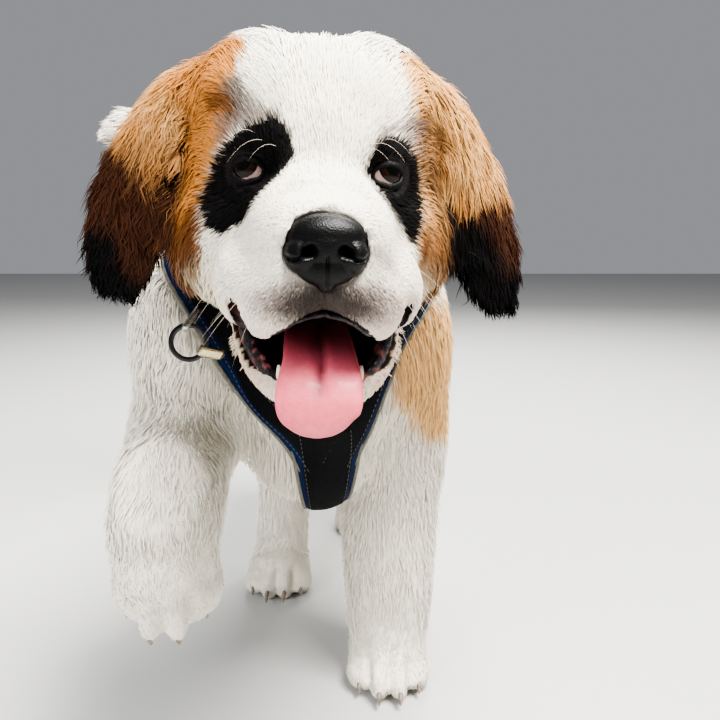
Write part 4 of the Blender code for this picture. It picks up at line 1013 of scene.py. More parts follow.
def paint_head(colours, spots):
    """Orange sides on either hand of a white blaze, brown cheeks and temple, and a tan jaw.

    The sides are paler on the puppy's left, partly their own colour and partly painted light.
    """
    x, y, z = spots.in_head.T
    blaze = np.maximum(picture_mark(BLAZE, spots, 5), past(-y, 0.018, 0.014) * (z < -0.015))
    nape = marked((0.052 - 0.4 * (y - 0.04) - np.abs(x)) * 1000, 6, spots.mixed)
    white = np.where(y < 0.040, blaze, np.minimum(blaze, nape))
    white = np.maximum(white, marked((-0.075 - z) * 1000, 10, spots.mixed))
    sides = (1 - white) * np.maximum(spots.head, on_ears(spots.points, 0, 0.050))
    paint(colours, sides, ORANGE)
    # Partly painted light: the sides are paler on the puppy's left, where the key lamp falls.
    paint(colours, sides * past(x, 0.0, 0.03) * (0.55 + 0.3 * spots.blur), LIGHT_ORANGE)
    paint(colours, sides * past(-z, 0.005, 0.05) * 0.65, RUSSET)
    paint(colours, sides * past(np.abs(x), 0.070, 0.02) * (z > 0.01) * 0.25, RUSSET)
    strand = noise(spots.points * ALONG_HAIR, 0.010, 9)
    for outline in (LEFT_CHEEK, RIGHT_CHEEK):
        cheek = picture_mark(outline, spots, 14, strand * 0.7)
        paint(colours, cheek * spots.head * (1 - white) * 0.72, BROWN)
    jaw = past(-z, 0.088, 0.02) * past(np.abs(x), 0.015, 0.03) * spots.head
    paint(colours, jaw * (0.75 + 0.2 * noise(spots.points, 0.02, 7)), JAW_TAN)
    low_cheek = past(-z, 0.045, 0.03) * past(np.abs(x), 0.055, 0.02) * spots.head
    paint(colours, low_cheek * 0.60, CREAM)
    paint(colours, picture_mark(DARK_TEMPLE, spots, 9, strand * 0.4) * spots.head * 0.85, BROWN)


def paint_face(colours, spots):
    """Grey brows, black round the eyes, pinkish flews, and a dusky lip under the nose.

    The flews' pink and the dusk under the nose are partly painted shade.
    """
    _, y, z = spots.in_head.T
    face = spots.head * (y < 0.06)
    for outline in (LEFT_BROW, RIGHT_BROW):
        paint(colours, marked(inside(outline, spots.pixels), 6, spots.scatter) * face * 0.85, GREY_BROWN)
    broken = spots.scatter * 0.5 + spots.blur * 0.3
    for outline in (LEFT_PATCH, RIGHT_PATCH):
        paint(colours, marked(inside(outline, spots.pixels), 2.5, broken) * face, BLACK)
    # Partly painted shade: the lower flews are pinker and darker, partly their own pink skin.
    flews = past(-z, 0.056, 0.02) * past(-y, 0.026, 0.02) * face
    paint(colours, flews * (0.30 + 0.25 * noise(spots.points, 0.016, 6)), FLEW_PINK_AND_SHADE)
    # Partly painted shade: the dark hairs under the nose deepen into the shade of the nose pad.
    lip = np.linalg.norm((spots.in_head - LIP_MIDDLE) / LIP_SIZES, axis=1)
    paint(colours, smoothstep((1.40 - lip) / 0.7 + spots.scatter * 0.6) * face * 0.75, GREY_BROWN)
    paint(colours, smoothstep((1.02 - lip) / 0.6 + spots.scatter * 0.5) * face * 0.85, UNDER_NOSE_DARK_AND_SHADE)


def ear_colours(spots):
    """Orange at the roots of the ears, then brown strands, and black at the tips.

    The pale streaks are partly painted highlights, and the left ear is paler and the right darker,
    partly as painted light and painted shade.
    """
    down = -spots.in_head[:, 2]
    right = spots.in_head[:, 0] < 0
    streak = noise(spots.points * ALONG_HAIR, 0.009, 14)
    colours = np.tile(np.array(ORANGE), (len(down), 1))
    # Partly painted light: the pale streaks are paler strands and highlights on the hair, and the left ear,
    # on the key lamp's side, takes more of them.
    paint(colours, np.clip(0.38 + 0.5 * streak + 0.2 * ~right, 0, 1), LIGHT_ORANGE)
    low = smoothstep((down + 0.005) / 0.04 + streak * 0.6 + spots.scatter)
    # Partly painted shade: the lower ear's russet is its own, but the right ear, away from the key lamp,
    # takes more of it.
    paint(colours, low * np.where(right, 0.8, 0.45), RUSSET)
    for outline, on_right, soft, chance, streaks, strength, colour in EAR_MARKS:
        mark = marked(inside(outline, spots.pixels), soft, spots.mixed * chance + streak * streaks)
        paint(colours, mark * (right == on_right) * strength, colour)
    paint(colours, smoothstep((down - 0.066) / 0.02 + spots.mixed * 0.5), BLACK)
    return colours


def coat_colour(points, scatter):
    """The colour of the coat at points, each with a random number as its scatter."""
    blur = noise(points, 0.012) * 0.5 + noise(points, 0.005, 1) * 0.3
    frames = seen_at(points), into(HEAD, points), into(BODY, points)
    mixed = scatter * 0.5 + blur * 0.5
    spots = Spots(points, *frames, scatter, blur, mixed, on_head(points), on_ears(points))
    colours = np.tile(np.array(WHITE), (len(points), 1))
    paint(colours, smoothstep(0.25 + 0.8 * noise(points, 0.05, 2)) * 0.30, IVORY)
    paint_trunk(colours, spots)
    paint_head(colours, spots)
    paint_face(colours, spots)
    colours += (ear_colours(spots) - colours) * spots.ears[:, None]
    return np.clip(colours, 0.004, 0.92)


print("the breast is", coat_colour(place(BODY, [(0.0, -0.24, 0.30)]), np.zeros(1))[0].round(2))

# %% [markdown]
# Inside the mouth and at the rims there is bare skin: dark and wet in the mouth, black at the lids.
# The red and black blotches in the mouth are partly its skin and partly painted shade of the hollow.
# The mouth could be a piece of its own, but it is one surface with the cheeks, so it is found and
# painted: by a rough shape of the hollow, and by rays, which meet more skin when they leave the
# skin inside a mouth. Most finishes here are alike: a colour, clouded by a soft noise, with a fine
# grain as relief. One function makes them all, so a finish is one line that says what it is.

# %% The skin's colours and finish
MOUTH_ROWS = np.array([
    (-0.120, -0.116, 0.026, 0.028),
    (-0.085, -0.106, 0.029, 0.027),
    (-0.058, -0.105, 0.034, 0.026),
    (-0.030, -0.099, 0.040, 0.026),
    (0.000, -0.089, 0.042, 0.023),
    (0.026, -0.080, 0.033, 0.016),
    (0.042, -0.076, 0.018, 0.010),
])  # y, z, half width and half height of the mouth's hollow
# the gap between the lips in y and z, seen from the side
MOUTH_SIDES = [(0.008, -0.084), (-0.080, -0.104), (-0.080, -0.126), (-0.040, -0.117)]
MOUTH_BOX = ((-0.056, -0.120, -0.136), (0.056, 0.050, -0.066))  # where rays look for the hollow
# partly painted shade: the mouth's colours are darker than its skin, as shade in the hollow
MOUTH_RED_SHADED, MOUTH_BLACK_SHADED = (0.060, 0.018, 0.017), (0.008, 0.005, 0.005)


def in_mouth(points, grow=0.0):
    """True for points within the open mouth, or within grow of it."""
    local = into(HEAD, points)
    y = local[:, 1]
    z, half, deep = (np.interp(y, MOUTH_ROWS[:, 0], MOUTH_ROWS[:, k]) for k in (1, 2, 3))
    arch = (local[:, 0] / (half + grow)) ** 2 + ((local[:, 2] - z) / (deep + grow)) ** 2 < 1
    arch &= (y > -0.13) & (y < 0.045)
    sides = inside(MOUTH_SIDES, local[:, 1:3]) > -grow
    return arch | (sides & (np.abs(local[:, 0]) < 0.07))


def add_colours(thing, colours):
    """Keeps a colour for each point of a piece, where its material can read it."""
    layer = thing.data.color_attributes.new("coat", "FLOAT_COLOR", "POINT")
    opaque = np.hstack([colours, np.ones((len(colours), 1))])
    layer.data.foreach_set("color", opaque.astype(np.float32).ravel())


def mottle(nodes, links, size, low, high):
    """A noise over the surface, from low to high, on Object coordinates."""
    coordinates = nodes.new("ShaderNodeTexCoord")
    texture = nodes.new("ShaderNodeTexNoise")
    texture.inputs["Scale"].default_value = 1 / size
    texture.inputs["Detail"].default_value = 4
    links.new(coordinates.outputs["Object"], texture.inputs["Vector"])
    spread = nodes.new("ShaderNodeMapRange")
    spread.inputs["From Min"].default_value = 0.3
    spread.inputs["From Max"].default_value = 0.7
    spread.inputs["To Min"].default_value = low
    spread.inputs["To Max"].default_value = high
    links.new(texture.outputs["Fac"], spread.inputs["Value"])
    return spread.outputs["Result"]


def add_bump(nodes, links, shader, height, strength, depth):
    """Relief on a shader, from a height."""
    bump = nodes.new("ShaderNodeBump")
    bump.inputs["Strength"].default_value = strength
    bump.inputs["Distance"].default_value = depth
    links.new(height, bump.inputs["Height"])
    links.new(bump.outputs["Normal"], shader.inputs["Normal"])


def add_shade(nodes, links, shader, size, low, high):
    """The shader's colour, lighter and darker in patches of a size; the socket of the colour itself."""
    mix = nodes.new("ShaderNodeMix")
    mix.data_type = "RGBA"
    mix.blend_type = "MULTIPLY"
    mix.inputs["Factor"].default_value = 1.0
    links.new(mottle(nodes, links, size, low, high), mix.inputs["B"])
    links.new(mix.outputs["Result"], shader.inputs["Base Color"])
    return mix.inputs["A"]


def finish(name, roughness, specular=0.5, colour=None, shade=None, grain=None, gloss=None, wet=None):
    """A material of one colour, or else of the colours kept in a piece's points.

    It can have a shade (size, low, high), a grain (size, strength, depth), a roughness that wanders
    (size, low, high) and a wet film, given by its weight and roughness.
    """
    made, nodes, links, shader = make_material(name, colour or PLAIN, roughness, specular=specular)
    if shade and colour:
        add_shade(nodes, links, shader, *shade).default_value = (*colour, 1)
    elif shade:
        attribute = nodes.new("ShaderNodeAttribute")
        attribute.attribute_name = "coat"
        links.new(attribute.outputs["Color"], add_shade(nodes, links, shader, *shade))
    if grain:
        add_bump(nodes, links, shader, mottle(nodes, links, grain[0], 0, 1), *grain[1:])
    if gloss:
        links.new(mottle(nodes, links, *gloss), shader.inputs["Roughness"])
    if wet:
        shader.inputs["Coat Weight"].default_value = wet[0]
        shader.inputs["Coat Roughness"].default_value = wet[1]
    return made


def mouth_points(places, normals):
    """True for the skin's points inside the mouth, by its rough shape, the lip line and rays."""
    local = into(HEAD, places)
    found = in_mouth(places, 0.002)
    lip_line, lip_width, _ = FACE_STROKES[0]
    # The groove along the lip line takes the mouth's colours: partly dark lip skin, partly painted shade.
    found |= (line_gap(both_sides(local), lip_line) < lip_width) & (local[:, 1] < 0.035)
    low, high = np.array(MOUTH_BOX)
    nearby = ((local > low) & (local < high)).all(axis=1)
    for i in np.flatnonzero(nearby & ~found):
        outward = Vector(normals[i])
        found[i] = skin_tree.ray_cast(Vector(places[i]) + outward * 0.001, outward, 0.055)[0] is not None
    return found


places, normals = mesh_arrays(skin)
skin_tree = BVHTree.FromPolygons([Vector(p) for p in places], [list(map(int, t)) for t in corner_verts])
mouth = mouth_points(places, normals)
skin_colours = coat_colour(places, np.zeros(len(places))) * 0.97
paint(skin_colours, past(bare_eyes(places), 0.55, 0.3), BLACK)
# Partly painted shade: the mouth's blotches are darker than its skin, as shade in the hollow.
skin_colours[mouth] = np.where(noise(places, 0.004)[:, None] > 0.3, MOUTH_RED_SHADED, MOUTH_BLACK_SHADED)[mouth]
add_colours(skin, skin_colours)
under_coat = finish("skin_under_coat", 0.7, 0.25, shade=(0.0012, 0.82, 1.04), grain=(0.0012, 0.5, 0.001))
finish_piece(skin, under_coat, REPLACED)
print("skin painted, with", mouth.sum(), "points in the mouth")

# %% [markdown]
# Blender's own hair is curves, which can't be kept as a solid part, so the coat is grown tuft by
# tuft. A tuft stands for a pinch of hairs: a thin, three-sided blade, pointed, rooted under the
# skin. Roots are drawn at random over the skin, more where the coat is finer. Here the places that
# stay bare are found too, and the parts that no hair may pierce.

# %% Roots on the skin
def obstacle_tree(nodes_named):
    """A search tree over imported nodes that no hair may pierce."""
    form = bmesh.new()
    for node in nodes_named:
        form.from_mesh(bpy.data.objects[node].data)
    tree = BVHTree.FromBMesh(form)
    form.free()
    return tree


hard_parts = obstacle_tree(["harness_front", "harness_girth", "harness_back_pad"])
soft_parts = obstacle_tree(["eye_left", "eye_right", "nose", "tongue"])
corners = places[corner_verts]
areas = np.linalg.norm(np.cross(corners[:, 1] - corners[:, 0], corners[:, 2] - corners[:, 0]), axis=1) / 2
centres = corners.mean(axis=1)
ear_share, head_share, tail_share = on_ears(centres), on_head(centres), on_tail(centres)
centre_body = into(BODY, centres)
centre_head = into(HEAD, centres)
hairless = in_mouth(centres, 0.0005) | (bare_eyes(centres) > 0.90) | (bare_nose(centres) > 0.97)
hairless |= mouth[corner_verts].sum(axis=1) > 1
print("skin of", round(areas.sum(), 3), "square metres")


def draw_roots(weights, count):
    """Random places on the skin, by weight and area, with their normals and map places."""
    share = np.cumsum(areas * weights)
    picked = np.searchsorted(share, rng.random(count) * share[-1])
    a, b = np.sqrt(rng.random(count)), rng.random(count)
    mix = np.stack([1 - a, a * (1 - b), a * b], axis=1)
    roots = (corners[picked] * mix[:, :, None]).sum(axis=1)
    outward = unit((normals[corner_verts[picked]] * mix[:, :, None]).sum(axis=1))
    flat = (corner_uv[picked] * mix[:, :, None]).sum(axis=1)
    return roots, outward, flat


# %% [markdown]
# Each tuft takes its direction and length from the guides, its colour from the markings, and a bit
# of chance. On a rounded limb a straight one would stand off like a thorn, so the tip of a body
# tuft is set a little way above the nearest skin. One that would pierce the harness, the nose or an
# eye is cut short of it, and one rooted under a strap is left out. All tufts of a region are worked
# out together as arrays, since a loop over them would take minutes.

# %% Tufts
UV_PATCH = 0.003  # of the map, for each tuft
SUNK = 0.0012  # how deep roots lie under the skin
LEAST_KEPT = 0.35  # share of a tuft below which it is left out
STRAP_REACH = 0.030  # how far above a root a strap hides it


def bent_tips(roots, tips, rise):
    """Tips moved to lie rise above the nearest skin."""
    made = tips.copy()
    for i, (root, tip) in enumerate(zip(roots, tips)):
        near, outward, _, gap = skin_tree.find_nearest(tip)
        if near is not None and gap < 0.6 * np.linalg.norm(tip - root):
            made[i] = near + outward * rise[i]
    return made


def clear_of_parts(roots, outward, tips):
    """Which tufts are free of the harness, and how much of each can stay."""
    kept = np.ones(len(roots))
    for i in range(len(roots)):
        start = Vector(roots[i])
        normal = Vector(outward[i])
        if hard_parts.ray_cast(start, normal, STRAP_REACH)[0] is not None:
            kept[i] = 0
            continue
        reach = Vector(tips[i]) - start
        length = reach.length
        for tree in (hard_parts, soft_parts):
            hit = tree.ray_cast(start + normal * 0.0005, reach.normalized(), length * 1.1)
            if hit[0] is not None:
                kept[i] = min(kept[i], 0.85 * hit[3] / length)
    return kept


def lie_of_tufts(roots, outward):
    """Direction, length and rise of tufts: the guides', with a bit of chance for each."""
    count = len(roots)
    along, length, rise, _ = lie_of_coat(roots)
    along = along + noise_vector(roots, 0.030) * 0.22 + noise_vector(roots, 0.008, 4) * 0.16
    along += rng.normal(0, 0.07, (count, 3))
    along -= (along * outward).sum(axis=1, keepdims=True) * outward
    length = length * rng.uniform(0.72, 1.15, count)
    rise = rise * (0.20 + 0.42 * rng.random(count) + 0.42 * (rng.random(count) > 0.82))
    return unit(along), length, rise


def tuft_points(roots, tips, side, outward, length, rise, wide, rings, wave):
    """The points of tufts: a root under the skin, rings of three points, and a tip."""
    phase = noise(roots, 0.012, 12) * 6
    stack = [roots - outward * SUNK]
    for j in range(rings):
        s = (j + 0.62) / (rings + 0.62)
        centre = roots + (tips - roots) * s + outward * (rise * 1.6 * s * (1 - s))[:, None]
        centre += side * (wave * length * np.sin(phase + 7 * s) * s)[:, None]
        half = (wide * (1 - 0.45 * j / rings) / 2)[:, None]
        stack += [centre - side * half, centre + side * half, centre + outward * half * 0.7]
    stack.append(tips + side * (wave * length * np.sin(phase + 7))[:, None])
    return np.stack(stack, axis=1)


def tuft_faces(rings):
    """Triangles of one tuft: from the root to the first ring, from ring to ring, and to the tip."""
    faces = [(1, 2, 0), (2, 3, 0), (3, 1, 0)]
    for j in range(rings - 1):
        for k in range(3):
            a, b = 3 * j + k + 1, 3 * j + (k + 1) % 3 + 1
            faces += [(a, a + 3, b), (b, a + 3, b + 3)]
    top, last = 3 * rings - 2, 3 * rings + 1
    return np.array(faces + [(top, last, top + 1), (top + 1, last, top + 2), (top + 2, last, top)])


def grow(name, slot, weights, count, rings, width, wave=0.0, hug=True):
    """One piece of coat: count tufts, each with rings rings between its root and its tip."""
    roots, outward, flat = draw_roots(weights * ~hairless, count)
    along, length, rise = lie_of_tufts(roots, outward)
    clump = noise_vector(roots, 0.010, 8) * (length * 0.16)[:, None]
    tips = roots + along * length[:, None] + clump
    tips = bent_tips(roots, tips, rise) if hug else tips + outward * rise[:, None]
    kept = clear_of_parts(roots, outward, tips)
    stays = kept > LEAST_KEPT
    roots, outward, flat, along, tips = (rows[stays] for rows in (roots, outward, flat, along, tips))
    length, rise, kept = (length * kept)[stays], (rise * kept)[stays], kept[stays]
    tips = roots + (tips - roots) * kept[:, None]
    side = unit(np.cross(along, outward))
    wide = width * rng.uniform(0.75, 1.25, len(roots)) * (0.45 + 0.55 * kept)
    points = tuft_points(roots, tips, side, outward, length, rise, wide, rings, wave)
    lean = [unit(outward - side * 0.5), unit(outward + side * 0.5), unit(outward + along * 0.15)]
    facing = np.stack([outward] + lean * rings + [unit(outward + along * 0.35)], axis=1)
    base = coat_colour(roots, rng.normal(0, 0.22, len(roots)))
    base *= rng.uniform(0.90, 1.05, len(roots))[:, None]
    # Painted shade: each tuft is darker towards its root, where the coat shades itself.
    shades = np.stack([base * s for s in np.linspace(0.94, 1.02, points.shape[1])], axis=1)
    piece = add_tufts(name, points, tuft_faces(rings), shades, flat, facing)
    finish_piece(piece, coat_finish, smooth=False)
    print(name, len(roots), "tufts", len(piece.data.polygons), "faces")


def add_tufts(name, points, faces, shades, flat, facing):
    """A mesh of like tufts, with their colours, soft normals and patches on the skin's map."""
    count, each = points.shape[:2]
    corners_of = (np.arange(count)[:, None, None] * each + faces[None]).reshape(-1)
    mesh = bpy.data.meshes.new(name)
    mesh.vertices.add(count * each)
    mesh.vertices.foreach_set("co", points.astype(np.float32).ravel())
    mesh.loops.add(len(corners_of))
    mesh.loops.foreach_set("vertex_index", corners_of.astype(np.int32))
    mesh.polygons.add(count * len(faces))
    mesh.polygons.foreach_set("loop_start", np.arange(0, len(corners_of), 3, dtype=np.int32))
    mesh.update(calc_edges=True)
    layer = mesh.uv_layers.new(name="OFBake")
    up = np.linspace(-0.5, 0.5, each)
    sideways = np.array((0.0, -0.5, 0.5))[np.arange(each) % 3] * (1 - 2 * abs(up))
    spots = flat[:, None, :] + (np.stack([sideways, up], axis=1) * UV_PATCH)[None]
    layer.data.foreach_set("uv", spots.reshape(-1, 2)[corners_of].astype(np.float32).ravel())
    made = add_object(name, mesh)
    add_colours(made, np.clip(shades.reshape(-1, 3), 0, 0.95))
    mesh.normals_split_custom_set_from_vertices(facing.reshape(-1, 3).astype(np.float32))
    return made


print("a tuft has", len(tuft_faces(1)), "faces, or", len(tuft_faces(2)), "where it waves")

# %% [markdown]
# The eyes are packed as plain balls. An iris could be a disc set under a clear shell, but at this
# size one ball does as well. Here each is a finer ball with a slight bulge over the iris.
# Its colours are drawn by angle from the line of sight: black pupil, brown iris, a dark ring and
# the pinkish white, of which a crescent shows on the nose side because the puppy looks up and out.

# %% Eyeballs
EYE_RADIUS = 0.0120
GAZE = (0.48, -1.0, 0.46)  # outwards, ahead and up, in the head's frame
EYE_AXIS = (0.26, -1.0, 0.02)  # the middle of the gap between the lids
IRIS_COS, PUPIL_COS = cos(radians(46)), cos(radians(24))
IRIS_BULGE = 0.0007  # metres


def gaze_of(side):
    """The line of sight of the eye on a side, in the model's frame."""
    return (HEAD.to_3x3() @ Vector((side * GAZE[0], *GAZE[1:]))).normalized()


def eye_material(side, centre):
    """A wet finish whose colour follows the angle from the line of sight."""
    made = finish("eye_wet", 0.07, 0.16, wet=(0.10, 0.03))
    nodes, links = made.node_tree.nodes, made.node_tree.links
    coordinates = nodes.new("ShaderNodeTexCoord")
    steps = []
    for operation in ("SUBTRACT", "NORMALIZE", "DOT_PRODUCT"):
        steps.append(nodes.new("ShaderNodeVectorMath"))
        steps[-1].operation = operation
    from_centre, direction, along = steps
    from_centre.inputs[1].default_value = centre
    along.inputs[1].default_value = gaze_of(side)
    ramp = nodes.new("ShaderNodeValToRGB")
    stops = [
        (0.0, (0.34, 0.20, 0.18)), (0.45, (0.42, 0.29, 0.275)), (IRIS_COS - 0.02, (0.30, 0.19, 0.175)),
        (IRIS_COS, (0.003, 0.002, 0.002)), (IRIS_COS + 0.05, (0.006, 0.003, 0.002)),
        (PUPIL_COS - 0.015, (0.011, 0.005, 0.0025)), (PUPIL_COS, (0.001, 0.001, 0.001)),
    ]
    elements = ramp.color_ramp.elements
    elements[0].color = (*stops[0][1], 1)
    elements[1].color = (*stops[-1][1], 1)
    for position, colour in stops[1:]:
        elements.new(position).color = (*colour, 1)
    links.new(coordinates.outputs["Object"], from_centre.inputs[0])
    links.new(from_centre.outputs["Vector"], direction.inputs[0])
    links.new(direction.outputs["Vector"], along.inputs[0])
    links.new(along.outputs["Value"], ramp.inputs["Fac"])
    links.new(ramp.outputs["Color"], nodes["Principled BSDF"].inputs["Base Color"])
    return made


def add_eyeball(name, side, centre):
    """A ball that bulges over the iris."""
    bpy.ops.mesh.primitive_uv_sphere_add(segments=48, ring_count=32, radius=EYE_RADIUS, location=centre)
    ball = bpy.context.object
    bpy.ops.object.transform_apply(location=True)
    gaze = gaze_of(side)
    for vertex in ball.data.vertices:
        out = (vertex.co - centre).normalized()
        bulge = max(0, (out.dot(gaze) - IRIS_COS) / (1 - IRIS_COS))
        vertex.co += out * IRIS_BULGE * bulge
    ball.name = "eyeball_" + name
    ball.select_set(False)
    finish_piece(ball, eye_material(side, centre), ["eye_" + name])


EYES = {"left": left_eye, "right": right_eye}
for name, side in SIDES.items():
    add_eyeball(name, side, EYES[name])
print(len(EYES), "eyeballs")

# %% [markdown]
# The lids are a ring of black skin that lies tight on the ball and opens as an almond. Cut into the
# skin of the face they would need its mesh to be far finer there, so they are a piece of their own.
# Its section is drawn by angle from the middle of the gap and by height over the ball, then
# carried round it.

# %% Lids
LID_GAP = (radians(46), radians(24), radians(31))  # half angles of the gap: across, up and down
LID_SECTION = [
    (0.00, 0.05), (-0.02, 0.7), (0.05, 1.5), (0.22, 2.1), (0.50, 2.3), (0.80, 1.8), (1.05, 0.4),
    (1.05, -1.6), (0.50, -1.0), (0.12, -0.25),
]  # share of the lid's breadth, and mm over the ball
LID_BREADTH = radians(30)
LID_BLACK = (0.0035, 0.0028, 0.0028)
LID_STEPS = 56  # sections round the gap


def add_lids(name, side, centre):
    """A ring of lids round an eye, drawn out a little at its inner corner."""
    middle_at = HEAD.inverted() @ centre
    ahead = Vector((side * EYE_AXIS[0], *EYE_AXIS[1:])).normalized()
    across = Vector((0, 0, 1)).cross(ahead).normalized()
    up = ahead.cross(across)
    rings = []
    for k in range(LID_STEPS):
        t = 2 * pi * k / LID_STEPS
        wide, high = cos(t), sin(t)
        reach = LID_GAP[1] if high > 0 else LID_GAP[2]
        gap = 1 / ((wide / LID_GAP[0]) ** 2 + (high / reach) ** 2) ** 0.5
        gap *= 1 - 0.10 * (1 - abs(wide)) * abs(wide) * 4
        inner_corner = max(0, -wide * side) ** 6
        gap += inner_corner * radians(5)
        turn_to = across * wide + up * (high - 0.10 * inner_corner)
        ring = []
        for share, height in LID_SECTION:
            angle = gap + share * LID_BREADTH
            out = ahead * cos(angle) + turn_to.normalized() * sin(angle)
            ring.append(HEAD @ (middle_at + out * (EYE_RADIUS + height / 1000)))
        rings.append(ring)
    finish_piece(skin_rings("lids_" + name, rings, closed=True), lid_skin)


lid_skin = finish("lid_skin", 0.55, 0.15, LID_BLACK, grain=(0.0009, 0.5, 0.0006))
for name, side in SIDES.items():
    add_lids(name, side, EYES[name])
print(len(EYES), "rings of lids")

# %% [markdown]
# The nose is a pad of pebbled, wet leather with a flat top. It could be sculpted from one ball, but
# a few rounded forms fused together are easier to move and size. The result is remeshed finely, and
# its nostrils, their slits and the groove below are pressed in with the strokes used on the skin.

# %% The nose
NOSE_TIP = -0.1040
NOSE_FORMS = [
    ((0, 0.0160, -0.0445), (0.0230, 0.0170, 0.0163)),
    ((0, 0.0140, -0.0395), (0.0218, 0.0143, 0.0126)),
    ((0, 0.0105, -0.0560), (0.0165, 0.0095, 0.0100)),
    ((0, 0.0108, -0.0610), (0.0066, 0.0074, 0.0082)),
    ((0.0125, 0.0118, -0.0490), (0.0104, 0.0122, 0.0110)),
    ((-0.0125, 0.0118, -0.0490), (0.0104, 0.0122, 0.0110)),
]  # middle, behind the tip, and half sizes
NOSTRIL = [(0.0088, -0.0468), (0.0108, -0.0476)]
NOSTRIL_SLIT = [(0.0108, -0.0480), (0.0150, -0.0515), (0.0195, -0.0515), (0.0225, -0.0490)]
PHILTRUM = [(0.0, -0.0500), (0.0, -0.0720)]
LEATHER_BLACK = (0.0018, 0.0018, 0.0019)
PEBBLE = 0.0011  # metres from pebble to pebble


def add_form(centre, radii):
    """An ellipsoid in the head's frame."""
    bpy.ops.mesh.primitive_uv_sphere_add(segments=32, ring_count=20, radius=1)
    form = bpy.context.object
    form.data.transform(HEAD @ Matrix.Translation(centre) @ Matrix.Diagonal((*radii, 1)))
    form.select_set(False)
    return form


def leather_material():
    """Black leather of small pebbles."""
    made, nodes, links, shader = make_material("nose_pebbles", LEATHER_BLACK, 0.42, specular=0.20)
    coordinates = nodes.new("ShaderNodeTexCoord")
    pebbles = nodes.new("ShaderNodeTexVoronoi")
    pebbles.inputs["Scale"].default_value = 1 / PEBBLE
    links.new(coordinates.outputs["Object"], pebbles.inputs["Vector"])
    add_bump(nodes, links, shader, pebbles.outputs["Distance"], 0.35, 0.0005)
    return made


forms = [add_form((x, NOSE_TIP + behind, z), radii) for (x, behind, z), radii in NOSE_FORMS]
nose_pad = fused(join("nose_pad", forms), 0.0006, 10)
nose_places, _ = mesh_arrays(nose_pad)
local = into(HEAD, nose_places)
flat = local[:, (0, 2)]
pushed = stroke(flat, PHILTRUM, 0.0009, 0.0016)
for side in SIDES.values():
    pushed += stroke(flat, [(side * x, z) for x, z in NOSTRIL], 0.0026, 0.0075)
    pushed += stroke(flat, [(side * x, z) for x, z in NOSTRIL_SLIT], 0.0010, 0.0028)
local[:, 1] += pushed * smoothstep((NOSE_TIP + 0.016 - local[:, 1]) / 0.010)
move_points(nose_pad, place(HEAD, local))
finish_piece(nose_pad, leather_material(), ["nose"])
print("nose of", len(nose_pad.data.polygons), "faces")

# %% [markdown]
# The tongue hangs over the lower lip, wide and flat, with a groove down its middle. It is a loft,
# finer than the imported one, whose groove and small wrinkles are pressed in point by point. Drawn
# only as relief in the finish, the groove would vanish against the light.

# %% The tongue
TONGUE_ROWS = [
    (0.000, 0.018, -0.092, 0.014, 0.0060),
    (0.000, -0.010, -0.098, 0.020, 0.0062),
    (0.000, -0.035, -0.106, 0.0218, 0.0056),
    (0.000, -0.056, -0.1125, 0.0225, 0.0048),
    (-0.001, -0.074, -0.119, 0.0240, 0.0043),
    (-0.002, -0.083, -0.129, 0.0250, 0.0040),
    (-0.003, -0.086, -0.138, 0.0232, 0.0036),
    (-0.003, -0.0865, -0.1455, 0.0170, 0.0032),
    (-0.003, -0.0865, -0.1500, 0.0095, 0.0024),
    (-0.003, -0.0865, -0.1515, 0.0030, 0.0012),
]
GROOVE_AT, GROOVE_DEEP = -0.001, 0.0036  # across the head, and metres
# the tongue's darker root inside the mouth and its darker groove are painted shade
TONGUE_PINK, TONGUE_ROOT_SHADE = (0.68, 0.125, 0.165), (0.20, 0.018, 0.022)
TONGUE_GROOVE_SHADE, TONGUE_TIP = (0.20, 0.030, 0.045), (0.80, 0.28, 0.30)
tongue_wet = finish(
    "tongue_wet", 0.42, 0.35, shade=(0.004, 0.92, 1.05), grain=(0.0010, 0.35, 0.0005), wet=(0.10, 0.15)
)
flesh = tongue_wet.node_tree.nodes["Principled BSDF"].inputs
flesh["Subsurface Weight"].default_value = 0.15
flesh["Subsurface Radius"].default_value = (0.004, 0.0015, 0.001)
flesh["Subsurface Scale"].default_value = 1.0
tongue = loft("tongue_soft", TONGUE_ROWS, HEAD, around=40, steps=6, square=2.3)
tongue_places, tongue_normals = mesh_arrays(tongue)
local = into(HEAD, tongue_places)
ridge_top = turned(HEAD.inverted(), tongue_normals)
facing_up = smoothstep(ridge_top[:, 2] * 0.8 - ridge_top[:, 1] * 0.8)
fade = smoothstep((local[:, 2] + 0.142) / 0.016)
aside = local[:, 0] - GROOVE_AT
groove = GROOVE_DEEP * np.exp(-(aside / 0.0017) ** 2) * fade
wrinkles = 0.0004 * noise(local * np.array((1, 0.25, 0.25)), 0.004)
tongue_places -= tongue_normals * ((groove + wrinkles) * facing_up)[:, None]
move_points(tongue, tongue_places)
tongue_colours = np.tile(TONGUE_PINK, (len(local), 1))
# Painted shade: darker towards the root, inside the mouth.
paint(tongue_colours, past(local[:, 1], -0.075, 0.055) * 0.85, TONGUE_ROOT_SHADE)
# Painted shade along the groove down its middle.
paint(tongue_colours, np.exp(-(aside / 0.0012) ** 2) * facing_up * fade * 0.8, TONGUE_GROOVE_SHADE)
paint(tongue_colours, past(-local[:, 2], 0.140, 0.01) * 0.25, TONGUE_TIP)
add_colours(tongue, tongue_colours)
finish_piece(tongue, tongue_wet, ["tongue"])
print("tongue of", len(tongue.data.polygons), "faces")

# %% [markdown]
# Inside the lower lips the skin is wet, black and pink in blotches, and crimped along its edge. A
# rim of the same dark skin follows the arch of the upper lip. The tips of two small canines show.
# The two sides are alike, so each form is drawn once, as a loft on the left, and flipped.

